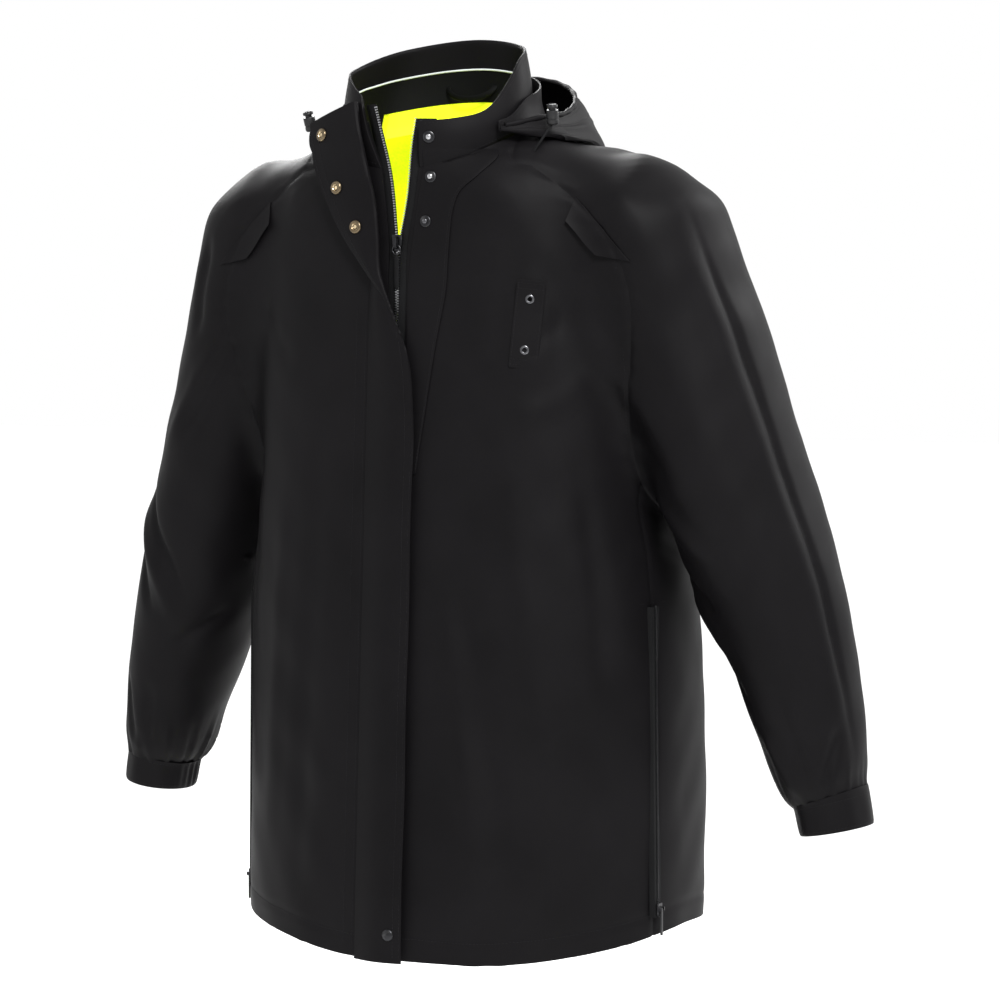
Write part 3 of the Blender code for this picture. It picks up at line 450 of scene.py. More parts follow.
def mesh_of(name, points, faces, *finishes):
    mesh = bpy.data.meshes.new(name)
    whole = [tuple(map(int, face)) for face in faces]
    mesh.from_pydata([tuple(map(float, point)) for point in points], [], whole)
    for finish in finishes:
        mesh.materials.append(finish)
    mesh.shade_smooth()
    return link(name, mesh)


def grid_faces(rows, columns, wrap):
    faces = []
    for start in range(0, (rows - 1) * columns, columns):
        for column in range(columns if wrap else columns - 1):
            after = (column + 1) % columns
            faces.append((start + column, start + after, start + columns + after, start + columns + column))
    return faces


def turned_out(thing):
    """Turns a closed mesh's faces so that they face outward."""
    shape = bmesh.new()
    shape.from_mesh(thing.data)
    bmesh.ops.recalc_face_normals(shape, faces=shape.faces)
    if shape.calc_volume(signed=True) < 0:
        bmesh.ops.reverse_faces(shape, faces=shape.faces)
    shape.to_mesh(thing.data)
    shape.free()
    return thing


def closed_grid(name, grid, *finishes):
    """A closed solid through a grid's rows, with each end closed by one fan."""
    rows, columns = grid.shape[:2]
    points = list(grid.reshape(-1, 3)) + [grid[0].mean(axis=0), grid[-1].mean(axis=0)]
    faces = grid_faces(rows, columns, True)
    last = rows * columns
    for column in range(columns):
        after = (column + 1) % columns
        faces.append((after, column, last))
        faces.append(((rows - 1) * columns + column, (rows - 1) * columns + after, last + 1))
    return turned_out(mesh_of(name, points, faces, *finishes))


def slab(name, outer, inner, finish, wrap=False):
    """A closed plate between two grids of the same size."""
    rows, columns = outer.shape[:2]
    deep = rows * columns
    points = list(outer.reshape(-1, 3)) + list(inner.reshape(-1, 3))
    faces = grid_faces(rows, columns, wrap)
    faces += [tuple(deep + corner for corner in reversed(face)) for face in faces]
    steps = columns if wrap else columns - 1
    for row in (0, rows - 1):
        for column in range(steps):
            first = row * columns + column
            second = row * columns + (column + 1) % columns
            faces.append((first, deep + first, deep + second, second))
    if not wrap:
        for column in (0, columns - 1):
            for row in range(rows - 1):
                first = row * columns + column
                faces.append((first, first + columns, deep + first + columns, deep + first))
    made = turned_out(mesh_of(name, points, faces, finish))
    made.data.set_sharp_from_angle(angle=math.radians(55))
    return made


def evaluated(thing):
    graph = bpy.context.evaluated_depsgraph_get()
    mesh = bpy.data.meshes.new_from_object(thing.evaluated_get(graph))
    thing.modifiers.clear()
    old = thing.data
    thing.data = mesh
    bpy.data.meshes.remove(old)
    return thing


def remove(*things):
    for thing in things:
        bpy.data.objects.remove(thing, do_unlink=True)


def corners(mesh):
    flat = np.empty(len(mesh.vertices) * 3)
    mesh.vertices.foreach_get("co", flat)
    return flat.reshape(-1, 3)


def put_corners(mesh, points):
    mesh.vertices.foreach_set("co", np.ascontiguousarray(points, float).ravel())
    mesh.update()


def tree_of(*things):
    whole = bmesh.new()
    for thing in things:
        part = thing.data.copy()
        part.transform(thing.matrix_world)
        whole.from_mesh(part)
        bpy.data.meshes.remove(part)
    tree = BVHTree.FromBMesh(whole)
    whole.free()
    return tree


# ---------------------------------------------------------------- one skin for body and sleeves


def make_base():
    """Body and sleeves as one even mesh, laid back onto their true surfaces and eased where they meet."""
    body = body_grid(np.linspace(0, NECK, 120), full_turn(360))
    body = np.concatenate([body[:1] - [0, 0, 0.03], body, body[-1:] + [0, 0, 0.03]])
    whole = closed_grid("base", body)
    body_tree = tree_of(whole)
    arm = sleeve_grid(np.linspace(0, CUFF_SEAM, 130), full_turn(96))
    arm = np.concatenate([arm, arm[-1:] + (arm[-1:] - arm[-2:-1]) * 6])
    left = closed_grid("arm_left", arm)
    right = closed_grid("arm_right", arm * [-1, 1, 1])
    arm_trees = [tree_of(left), tree_of(right)]
    points = np.concatenate([corners(thing.data) for thing in (whole, left, right)])
    faces = []
    start = 0
    for thing in (whole, left, right):
        faces += [tuple(start + corner for corner in face.vertices) for face in thing.data.polygons]
        start += len(thing.data.vertices)
    joined = mesh_of("base_joined", points, faces)
    remove(whole, left, right)
    mesher = joined.modifiers.new("voxels", "REMESH")
    mesher.mode = "VOXEL"
    mesher.voxel_size = VOXEL
    evaluated(joined)

    mesh = joined.data
    places = corners(mesh)
    laid = places.copy()
    crease = np.empty(len(places))
    for index, place in enumerate(places):
        point = Vector(place)
        hits = [body_tree.find_nearest(point), arm_trees[0 if point.x > 0 else 1].find_nearest(point)]
        hits.sort(key=lambda hit: hit[3])
        laid[index] = hits[0][0]
        crease[index] = hits[1][3]
    edges = np.empty(len(mesh.edges) * 2, int)
    mesh.edges.foreach_get("vertices", edges)
    edges = edges.reshape(-1, 2)
    count = np.bincount(edges.ravel(), minlength=len(laid))
    near_join = (1 - smoothstep(crease, 0.010, 0.034))[:, None]
    near_join *= (laid[:, 2:3] > -0.42) * (np.abs(laid[:, :1]) > 0.09)

    def eased(values):
        total = np.zeros_like(values)
        np.add.at(total, edges[:, 0], values[edges[:, 1]])
        np.add.at(total, edges[:, 1], values[edges[:, 0]])
        return total / count[:, None]

    for _ in range(60):
        laid += (eased(laid) - laid) * 0.6 * near_join
    for _ in range(3):
        laid += (eased(laid) - laid) * 0.3
    put_corners(mesh, laid)
    return joined


def clip(shape, home, field):
    """Keeps the part of a mesh where a field of the points is positive, with a clean cut."""
    places = np.array([vertex[home] for vertex in shape.verts])
    values = field(places)
    values[np.abs(values) < 0.0006] = 0
    for vertex, place, value in zip(shape.verts, places, values):
        vertex.co = (place[0], place[1] * 0.01 + place[2], value)
    bmesh.ops.bisect_plane(shape, geom=shape.verts[:] + shape.edges[:] + shape.faces[:], dist=1e-6,
                           plane_co=(0, 0, 0), plane_no=(0, 0, 1), clear_inner=True)
    for vertex in shape.verts:
        vertex.co = vertex[home]


def seam_side(line):
    """A field that is the distance from a line of (|x|, z), positive on its outer side."""
    line = np.asarray(line, float)
    first = line[:-1]
    run = line[1:] - first

    def field(places):
        flat = np.stack([np.abs(places[:, 0]), places[:, 2]], axis=1)
        best = np.full(len(flat), 9.0)
        signed = np.zeros(len(flat))
        for begin, step in zip(first, run):
            share = np.clip(((flat - begin) @ step) / (step @ step), 0, 1)
            gap = flat - begin - share[:, None] * step
            away = np.hypot(gap[:, 0], gap[:, 1])
            side = step[0] * gap[:, 1] - step[1] * gap[:, 0]
            closer = away < best
            best[closer] = away[closer]
            signed[closer] = np.where(side[closer] > 0, away[closer], -away[closer])
        return signed
    return field


RAGLAN_LINE = smooth(RAGLAN_SEAM, np.concatenate([[0], np.linspace(1, len(RAGLAN_SEAM) - 1, 60)]))
RAGLAN_LINE = np.concatenate([RAGLAN_LINE, [[0.40, -0.9]]])
beyond_raglan = seam_side(RAGLAN_LINE)


def neck_height(y):
    z_front, z_side, z_back, _, y_front, y_back, _ = BODY_RINGS[NECK]
    turn = np.clip(((y_front + y_back) / 2 - y) / ((y_back - y_front) / 2), -1, 1)
    return z_side + (np.where(turn > 0, z_front, z_back) - z_side) * np.abs(turn) ** 1.5


def hem_shift(places):
    """The hem hangs a little higher on the right front and a little lower on the left."""
    x = places[:, 0]
    shift = 0.0075 * smoothstep(-x, 0.03, 0.15) - 0.0045 * smoothstep(x, 0.03, 0.12)
    return shift * (1 - smoothstep(places[:, 1], -0.02, 0.09))


def hem_height(places):
    z_front, z_side, z_back, _, y_front, y_back, square = BODY_RINGS[0]
    turn = np.clip(((y_front + y_back) / 2 - places[:, 1]) / ((y_back - y_front) / 2), -1, 1)
    level = z_side + (np.where(turn > 0, z_front, z_back) - z_side) * np.abs(turn) ** (0.75 * square)
    return level + hem_shift(places)


def under_neck(places):
    return np.maximum(neck_height(places[:, 1]) - places[:, 2], np.abs(places[:, 0]) - NECK_SIDE)


def over_hem(places):
    return np.maximum(places[:, 2] - hem_height(places), np.abs(places[:, 0]) - BODY_SIDE)


def above_cuff(places):
    centre, before = smooth(SLEEVE_RINGS, [CUFF_SEAM, CUFF_SEAM - 0.3])[:, :3]
    axis = (before - centre) / np.linalg.norm(before - centre)
    mirrored = places.copy()
    mirrored[:, 0] = np.abs(mirrored[:, 0])
    return np.where(mirrored[:, 0] > SLEEVE_SIDE, (mirrored - centre) @ axis, 0.1)


def front_edge(chain, side):
    line = chain_line(chain, side * ZIP_HALF_SLOT)
    order = np.argsort(line[:, 1])

    def field(places):
        return side * (places[:, 0] - np.interp(places[:, 2], line[order, 1], line[order, 0]))
    return field


# ---------------------------------------------------------------- folds


def run_lengths(route):
    return np.concatenate([[0], np.cumsum(np.linalg.norm(np.diff(route, axis=0), axis=1))])


def route_distance(points, route):
    """How far points are from a route, and where along it, from 0 to 1, their nearest place is."""
    lengths = run_lengths(route)
    best = np.full(len(points), 9.0)
    share = np.zeros(len(points))
    for index in range(len(route) - 1):
        step = route[index + 1] - route[index]
        t = np.clip(((points - route[index]) @ step) / (step @ step), 0, 1)
        away = np.linalg.norm(points - route[index] - t[:, None] * step, axis=1)
        closer = away < best
        best[closer] = away[closer]
        share[closer] = (lengths[index] + t[closer] * np.linalg.norm(step)) / lengths[-1]
    return best, share


class Folds:
    """Ridges and hollows along routes on the coat, and the slow unevenness of hanging cloth."""

    def __init__(self, base):
        self.tree = tree_of(base)
        self.strokes = []
        self.pads = []
        random = np.random.default_rng(11)
        self.waves = []
        for length, height in WAVES:
            for _ in range(3):
                way = random.normal(size=3) * [1.0, 1.0, 0.45]
                way *= 2 * math.pi / length / np.linalg.norm(way)
                self.waves.append((way, random.uniform(0, 2 * math.pi), height / 2))

    def front(self, x, z):
        return np.array(self.tree.ray_cast(Vector((x, -1, z)), Vector((0, 1, 0)))[0])

    def back(self, x, z):
        return np.array(self.tree.ray_cast(Vector((x, 1, z)), Vector((0, -1, 0)))[0])

    def sleeve(self, side, place, degrees):
        point = sleeve_grid([place], np.radians([degrees]))[0, 0] * [side, 1, 1]
        return np.array(self.tree.find_nearest(Vector(point))[0])

    def add(self, where, places, width, height, side=1):
        """One fold through places on the front, the back or a sleeve; a minus height is a hollow."""
        if where == "sleeve":
            points = np.array([self.sleeve(side, *place) for place in places])
        else:
            points = np.array([getattr(self, where)(*place) for place in places])
        route = smooth(points, np.linspace(0, len(points) - 1, 4 * len(points)))
        self.strokes.append((route, width, height))

    def swell(self, place, size, rise):
        """The cloth stands out by a rise round a place; a minus rise sinks it."""
        self.pads.append((np.array(place), np.array(size), rise))

    def depth(self, home):
        """How far out of its formula surface each point stands."""
        total = np.zeros(len(home))
        for way, start, height in self.waves:
            total += height * np.sin(home @ way + start)
        middle = (home[:, 1] < 0) & (home[:, 2] < -0.02)
        total *= np.where(middle, 0.12 + 0.88 * smoothstep(np.abs(home[:, 0]), 0.035, 0.10), 1)
        to_side = np.abs(home[:, 1] - SIDE_SEAM_Y)
        side_zip = (to_side < 0.06) & (home[:, 2] < -0.43) & (np.abs(home[:, 0]) < BODY_SIDE)
        total *= np.where(side_zip, 0.15 + 0.85 * smoothstep(to_side, 0.012, 0.055), 1)
        neck = neck_height(home[:, 1]) - home[:, 2]
        total *= np.where(np.abs(home[:, 0]) < 0.13, smoothstep(neck, 0.0, 0.035), 1)
        for route, width, height in self.strokes:
            low = route.min(axis=0) - 2.6 * width
            high = route.max(axis=0) + 2.6 * width
            near = np.flatnonzero(((home > low) & (home < high)).all(axis=1))
            if len(near) == 0:
                continue
            away, share = route_distance(home[near], route)
            ends = smoothstep(np.minimum(share, 1 - share), -0.02, 0.28)
            total[near] += height * ends * np.exp(-((away / width) ** 2))
        for place, size, rise in self.pads:
            total += rise * np.exp(-((((home - place) / size) ** 2).sum(axis=1) ** 2))
        return total


def seam_depth(home):
    """Hollows along the sewn seams, with a little puckering beside them."""
    total = np.zeros(len(home))
    seam = beyond_raglan(home)
    total -= 0.0013 * np.exp(-((seam / 0.0030) ** 2))
    total += 0.0005 * np.exp(-((seam / 0.009) ** 2)) * np.sin(home[:, 2] * 330 + home[:, 1] * 120)
    side = (home[:, 1] - SIDE_SEAM_Y) / 0.0030
    total -= 0.0011 * np.exp(-(side**2)) * (seam < 0)
    rise = home[:, 2] - hem_height(home)
    body = (np.abs(home[:, 0]) < BODY_SIDE) & (seam < 0)
    total -= 0.0006 * np.exp(-(((rise - HEM_LINE) / 0.0030) ** 2)) * body
    return total


def cut_piece(name, base, folds, fields, finish, deep=0.0, finer=True, extra=None):
    """A panel of cloth cut from the base between fields, folded, and set a depth in from the skin."""
    shape = bmesh.new()
    shape.from_mesh(base.data)
    home = shape.verts.layers.float_vector["home"]
    for field in fields:
        clip(shape, home, field)
    bmesh.ops.dissolve_degenerate(shape, dist=1e-5, edges=shape.edges)
    mesh = bpy.data.meshes.new(name)
    shape.to_mesh(mesh)
    shape.free()
    made = link(name, mesh)
    mesh.materials.clear()
    mesh.materials.append(finish)
    if finer:
        step = made.modifiers.new("finer", "SUBSURF")
        step.levels = 1
        step.render_levels = 1
        evaluated(made)
    mesh = made.data
    places = corners(mesh)
    out = np.empty(len(places) * 3)
    mesh.attributes["out"].data.foreach_get("vector", out)
    out = out.reshape(-1, 3)
    out /= np.linalg.norm(out, axis=1, keepdims=True)
    rise = folds.depth(places) + seam_depth(places)
    if extra is not None:
        rise = rise + extra(places)
    put_corners(mesh, places + out * (rise - deep)[:, None])
    for layer in ("home", "out"):
        mesh.attributes.remove(mesh.attributes[layer])
    mesh.shade_smooth()
    return made


def thicken(thing, thickness):
    thick = thing.modifiers.new("cloth", "SOLIDIFY")
    thick.thickness = thickness
    thick.offset = -1
    evaluated(thing)
    thing.data.set_sharp_from_angle(angle=math.radians(60))
    return thing


def elbow_blend(thing, side):
    """A sleeve bends from the coat to the forearm across its elbow."""
    start, end = smooth(SLEEVE_RINGS, [5.2, 6.8])[:, :3] * [side, 1, 1]
    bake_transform(thing, "coat", f"forearm_{'left' if side > 0 else 'right'}", tuple(start), tuple(end))


def make_coat():
    """The fronts, back, sleeves and their linings, cut from one base skin."""
    base = make_base()
    mesh = base.data
    places = corners(mesh)
    out = np.empty(len(places) * 3)
    mesh.vertices.foreach_get("normal", out)
    for name, values in (("home", places.ravel()), ("out", out)):
        layer = mesh.attributes.new(name, "FLOAT_VECTOR", "POINT")
        layer.data.foreach_set("vector", values)
    folds = Folds(base)
    add_folds(folds)

    inside = [lambda p: -beyond_raglan(p), under_neck, over_hem]
    ahead = [lambda p: SIDE_SEAM_Y - p[:, 1]] + inside
    behind = [lambda p: p[:, 1] - SIDE_SEAM_Y] + inside
    left_edge = front_edge(LEFT_CHAIN, 1)
    right_edge = front_edge(RIGHT_CHAIN, -1)
    panels = {}
    for name, fields, node in (("front_left", ahead + [left_edge], "front_panel_left"),
                               ("front_right", ahead + [right_edge], "front_panel_right"),
                               ("back", behind, "back_panel")):
        panels[name] = thicken(cut_piece(name, base, folds, fields, SHELL_CLOTH), CLOTH_THICK)
        stands_for(panels[name], "coat", "black_shell", node)
    for side, word in ((1, "left"), (-1, "right")):
        fields = [lambda p, s=side: s * p[:, 0] - 0.05, beyond_raglan, above_cuff]
        sleeve = cut_piece(f"sleeve_{word}", base, folds, fields, SHELL_CLOTH, extra=cuff_gathers)
        elbow_blend(thicken(sleeve, CLOTH_THICK), side)
        stands_for(sleeve, None, "black_shell",
                   f"raglan_sleeve_{word}", f"elbow_section_{word}", f"forearm_sleeve_{word}")
        inner = cut_piece(f"sleeve_lining_{word}", base, folds, fields, LINING_CLOTH, LINING_GAP, False,
                          armhole_tuck)
        elbow_blend(thicken(inner, LINING_THICK), side)
        stands_for(inner, None, "hi_vis_lining", f"forearm_lining_{word}")
        panels.update({f"sleeve_{word}": sleeve, f"sleeve_lining_{word}": inner})
        underarm = [fields[0], lambda p: UNDERARM_WIDTH - np.abs(beyond_raglan(p)),
                    lambda p: UNDERARM_TOP - p[:, 2]]
        backing = cut_piece(f"underarm_backing_{word}", base, folds, underarm, SHELL_CLOTH, UNDERARM_DEPTH,
                            False)
        stands_for(thicken(backing, LINING_THICK), "coat", "black_shell")

    def beside_zip(points):
        return np.maximum(np.maximum(left_edge(points), right_edge(points)), points[:, 1] - 0.02)

    lining = cut_piece("lining", base, folds, inside + [beside_zip], LINING_CLOTH, LINING_GAP, False,
                       armhole_tuck)
    stands_for(thicken(lining, LINING_THICK), "coat", "hi_vis_lining", "lining_body")
    panels["lining"] = lining
    remove(base)
    return panels


def armhole_tuck(home):
    """The linings draw further in along the low part of the armhole seam."""
    low = 1 - smoothstep(home[:, 2], -0.26, -0.18)
    return -0.0125 * low * np.exp(-((beyond_raglan(home) / 0.022) ** 2))


def cuff_gathers(home):
    """Small pleats where the sleeve's end is drawn into its cuff."""
    centre = smooth(SLEEVE_RINGS, [9.6])[0, :3]
    gap = np.stack([np.abs(home[:, 0]) - centre[0], home[:, 1] - centre[1]], axis=1)
    turn = np.arctan2(gap[:, 1], gap[:, 0])
    near = (1 - smoothstep(home[:, 2], -0.652, -0.595)) * (np.abs(home[:, 0]) > SLEEVE_SIDE)
    back = 0.35 + 0.65 * smoothstep(np.sin(turn - 0.3), -0.2, 0.9)
    return near * back * 0.0020 * (np.sin(turn * 17) + 0.6 * np.sin(turn * 29 + 1.0))


def add_folds(folds):
    """The folds and hollows that the hanging coat shows."""
    add = folds.add
    folds.swell(folds.front(*BADGE_MIDDLE), BADGE_PAD, BADGE_RISE)
    for side in (-1, 1):
        folds.swell((side * 0.236, 0.055, -0.016), (0.058, 0.12, 0.048), -0.0085)
        folds.swell((side * 0.314, 0.070, -0.105), (0.040, 0.10, 0.060), -0.0060)
        folds.swell((side * 0.162, 0.090, 0.004), (0.028, 0.05, 0.030), 0.0050)
    folds.swell((0.232, 0.110, -0.56), (0.06, 0.10, 0.27), 0.0065)
    # the left sleeve: a long groove down its outer side, and the bulge above the elbow among its folds
    groove = ((1.2, -28), (2.6, -24), (4.2, -22), (6.0, -20), (7.4, -18), (8.6, -14), (9.6, -8))
    add("sleeve", groove, 0.0055, -0.0042)
    add("sleeve", [(place, degrees - 12) for place, degrees in groove], 0.010, 0.0022)
    add("sleeve", ((4.6, -150), (5.3, -125), (5.9, -100)), 0.012, 0.0055)
    add("sleeve", ((5.4, -170), (6.0, -145), (6.5, -118)), 0.0080, -0.0050)
    add("sleeve", ((5.9, -175), (6.5, -150), (7.1, -128)), 0.010, 0.0045)
    add("sleeve", ((6.6, -176), (7.2, -150), (7.7, -120)), 0.0075, -0.0035)
    add("sleeve", ((3.0, -170), (4.0, -140), (4.9, -112)), 0.012, -0.0035)
    add("sleeve", ((2.0, -150), (3.2, -128), (4.4, -108)), 0.014, 0.0034)
    add("sleeve", ((7.4, -88), (8.2, -86), (9.2, -84)), 0.0060, -0.0026)
    add("sleeve", ((8.2, -30), (8.8, -52), (9.5, -74)), 0.0060, -0.0034)
    add("sleeve", ((8.0, -120), (8.8, -110), (9.6, -104)), 0.0070, 0.0030)
    add("sleeve", ((8.6, 150), (9.1, 160), (9.6, 165)), 0.0060, -0.0030)
    add("sleeve", ((4.6, 150), (5.4, 170), (6.2, 190)), 0.0100, -0.0040)
    add("sleeve", ((5.4, 120), (6.2, 145), (7.0, 175)), 0.0090, 0.0040)
    add("sleeve", ((6.2, 110), (7.0, 140), (7.7, 170)), 0.0080, -0.0036)
    # the right sleeve
    right = -1
    add("sleeve", ((1.4, -60), (2.4, -64), (3.2, -70)), 0.0080, -0.0042, right)
    add("sleeve", ((2.6, -110), (3.6, -95), (4.6, -80)), 0.0080, -0.0038, right)
    add("sleeve", ((3.0, -92), (4.0, -78), (4.8, -62)), 0.010, 0.0034, right)
    add("sleeve", ((5.1, -30), (5.6, -60), (6.2, -92), (6.7, -116)), 0.0070, -0.0048, right)
    add("sleeve", ((5.4, -26), (6.0, -56), (6.6, -90), (7.1, -112)), 0.010, 0.0042, right)
    add("sleeve", ((5.8, -24), (6.4, -54), (7.0, -84)), 0.0065, -0.0040, right)
    add("sleeve", ((6.6, -160), (7.0, -130), (7.4, -106)), 0.0080, -0.0032, right)
    add("sleeve", ((7.9, -46), (8.6, -64), (9.5, -78)), 0.0060, -0.0034, right)
    add("sleeve", ((7.9, -92), (8.6, -96), (9.5, -98)), 0.0060, -0.0030, right)
    add("sleeve", ((4.6, 150), (5.4, 170), (6.2, 190)), 0.0100, -0.0040, right)
    add("sleeve", ((5.4, 120), (6.2, 145), (7.0, 175)), 0.0090, 0.0040, right)
    # the fronts: long soft folds falling from the chest, and pulls below the shoulder flaps
    add("front", ((0.050, -0.38), (0.066, -0.50), (0.090, -0.66), (0.106, -0.78)), 0.012, 0.0026)
    add("front", ((0.075, -0.40), (0.098, -0.54), (0.128, -0.74)), 0.014, -0.0026)
    add("front", ((0.120, -0.30), (0.142, -0.46), (0.168, -0.64)), 0.016, 0.0026)
    add("front", ((0.180, -0.30), (0.196, -0.42), (0.205, -0.56)), 0.013, -0.0030)
    add("front", ((-0.085, -0.24), (-0.092, -0.42), (-0.104, -0.62), (-0.110, -0.78)), 0.015, -0.0022)
    add("front", ((-0.130, -0.30), (-0.148, -0.50), (-0.160, -0.72)), 0.016, 0.0026)
    add("front", ((-0.180, -0.24), (-0.190, -0.36), (-0.200, -0.52)), 0.012, -0.0030)
    add("front", ((0.186, -0.150), (0.160, -0.185), (0.120, -0.215)), 0.012, -0.0022)
    add("front", ((-0.186, -0.150), (-0.160, -0.190), (-0.120, -0.225)), 0.012, -0.0026)
    add("front", ((0.205, -0.215), (0.170, -0.255), (0.120, -0.275)), 0.013, 0.0022)
    # the back
    for x, height in ((-0.16, -0.0030), (-0.09, 0.0034), (-0.02, -0.0030), (0.06, -0.0030), (0.14, -0.0030)):
        add("back", ((x * 0.7, -0.22), (x * 0.85, -0.45), (x, -0.76)), 0.016, height)
    for side in (-1, 1):
        add("back", ((side * 0.19, -0.16), (side * 0.14, -0.24), (side * 0.06, -0.30)), 0.015, -0.0034)
        add("back", ((side * 0.20, -0.24), (side * 0.14, -0.33), (side * 0.05, -0.37)), 0.016, 0.0028)


# ---------------------------------------------------------------- finishing helpers


def edge_bevel(thing, width):
    step = thing.modifiers.new("edge", "BEVEL")
    step.width = width
    step.segments = 2
    step.limit_method = "ANGLE"
    return step


def bevelled(thing, width):
    edge_bevel(thing, width).angle_limit = math.radians(40)
    evaluated(thing)
    thing.data.shade_smooth()
    return thing


def lathe(name, profile, centre, axis, finish, segments=40, ring=False):
    """A profile of (radius, height) turned round an axis; a ring's profile is closed."""
    turn = Vector((0, 0, 1)).rotation_difference(Vector(axis).normalized()).to_matrix()
    points = []
    rows = []
    for radius, height in profile:
        if radius == 0:
            rows.append([len(points)])
            points.append(Vector((0, 0, height)))
            continue
        rows.append(list(range(len(points), len(points) + segments)))
        for angle in full_turn(segments):
            points.append(Vector((radius * math.cos(angle), radius * math.sin(angle), height)))
    pairs = list(zip(rows, rows[1:])) + ([(rows[-1], rows[0])] if ring else [])
    faces = []
    for first, second in pairs:
        for step in range(segments):
            after = (step + 1) % segments
            if len(first) == 1:
                faces.append((first[0], second[step], second[after]))
            elif len(second) == 1:
                faces.append((first[step], second[0], first[after]))
            else:
                faces.append((first[step], second[step], second[after], first[after]))
    made = turned_out(mesh_of(name, [turn @ point + Vector(centre) for point in points], faces, finish))
    made.data.set_sharp_from_angle(angle=math.radians(50))
    return made


def along(route, step):
    """Evenly spaced places along a route, with the direction at each."""
    route = np.asarray(route, float)
    lengths = run_lengths(route)
    stops = np.arange(0, lengths[-1], step)
    places = np.stack([np.interp(stops, lengths, route[:, k]) for k in range(3)], axis=1)
    ways = np.gradient(places, axis=0)
    return places, ways / np.linalg.norm(ways, axis=1, keepdims=True)


def tube(name, route, radius, finish, sides=10, flat=1.0, across=(0.31, 0.17, 0.93)):
    """A closed cord through a route; flat squashes it in the direction across."""
    route = np.asarray(route, float)
    ways = np.gradient(route, axis=0)
    ways /= np.linalg.norm(ways, axis=1, keepdims=True)
    side = np.cross(ways, np.array(across, float))
    side /= np.linalg.norm(side, axis=1, keepdims=True)
    up = np.cross(side, ways)
    radii = np.broadcast_to(np.asarray(radius, float), (len(route),))[:, None, None]
    turns = full_turn(sides)
    grid = (
        route[:, None, :]
        + side[:, None, :] * (radii * np.cos(turns)[None, :, None])
        + up[:, None, :] * (radii * flat * np.sin(turns)[None, :, None])
    )
    return closed_grid(name, grid, finish)


def many(name, shapes, finish):
    """One mesh of many small closed bodies, each given as (points, faces)."""
    points = []
    faces = []
    for own_points, own_faces in shapes:
        start = len(points)
        points += [tuple(point) for point in own_points]
        faces += [tuple(start + corner for corner in face) for face in own_faces]
    return mesh_of(name, points, faces, finish)


def bead(place, way, normal, length, width, height):
    """A small rounded body lying along a way on a surface."""
    side = np.cross(way, normal)
    side /= np.linalg.norm(side)
    points = []
    for share, size in ((-1.0, 0.35), (-0.75, 0.85), (0.0, 1.0), (0.75, 0.85), (1.0, 0.35)):
        for angle in full_turn(6):
            points.append(place + way * (share * length / 2) + side * (size * width / 2 * math.cos(angle))
                          + normal * (size * height / 2 * math.sin(angle)))
    return points, [tuple(reversed(range(6))), tuple(range(24, 30))] + grid_faces(5, 6, True)


def stitches(name, routes, tree, body, pitch=0.0036, length=0.0024):
    """Lines of thread laid on the cloth that a tree of it shows."""
    shapes = []
    for route in routes:
        for place, way in zip(*along(route, pitch)):
            hit = tree.find_nearest(Vector(place))
            normal = np.array(hit[1])
            way = way - normal * (way @ normal)
            way /= np.linalg.norm(way)
            middle = np.array(hit[0]) + normal * THREAD_LIFT
            shapes.append(bead(middle, way, normal, length, THREAD_WIDTH, THREAD_WIDTH))
    return stands_for(many(name, shapes, THREAD), body, "black_shell")


def seen_ahead(tree, x, z):
    """Place and normal of the first surface that a line from the front meets at (x, z)."""
    return tree.ray_cast(Vector((x, -1, z)), Vector((0, 1, 0)))[:2]


def front_hit(tree, x, z):
    """Place and normal of the front at (x, z), or what is nearest to it across a seam's gap."""
    place, normal = seen_ahead(tree, x, z)
    if place is None:
        near, normal, _, _ = tree.find_nearest(Vector((x, float(zip_plane(z)), z)))
        place = Vector((x, near.y, z))
    return place, normal


def on_front(tree, x, z):
    return np.array(front_hit(tree, x, z)[0])


def neighbours(grid):
    """The mean of the four neighbours of each of a grid's inner places."""
    return (grid[:-2, 1:-1] + grid[2:, 1:-1] + grid[1:-1, :-2] + grid[1:-1, 2:]) / 4


def front_grid(tree, grid):
    """Places and normals of the front under a grid of (x, z)."""
    hits = [[front_hit(tree, x, z) for x, z in row] for row in grid]
    return [np.array([[hit[k] for hit in row] for row in hits]) for k in (0, 1)]


def patch(name, grid, tree, thickness, feather, finish):
    """A sewn-on piece over a grid of (x, z), lying on the cloth beneath it; its first rows feather out."""
    base, normals = front_grid(tree, grid)
    for _ in range(4):
        normals[1:-1, 1:-1] = neighbours(normals)
    normals /= np.linalg.norm(normals, axis=2, keepdims=True)
    rim = np.ones(base.shape[:2])
    rim[1:-1, 1:-1] = 0
    fade = smoothstep(np.arange(len(rim)), 0, feather)[:, None]
    height = (thickness - 0.0003 * rim) * fade - 0.0004 * (1 - fade)
    low = 0.0002 - 0.0014 * (1 - fade)
    return slab(name, base + normals * height[..., None], base + normals * low[..., None], finish)


def centre_of(node):
    low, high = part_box(node)
    return (np.array(low) + np.array(high)) / 2


# ---------------------------------------------------------------- cuffs


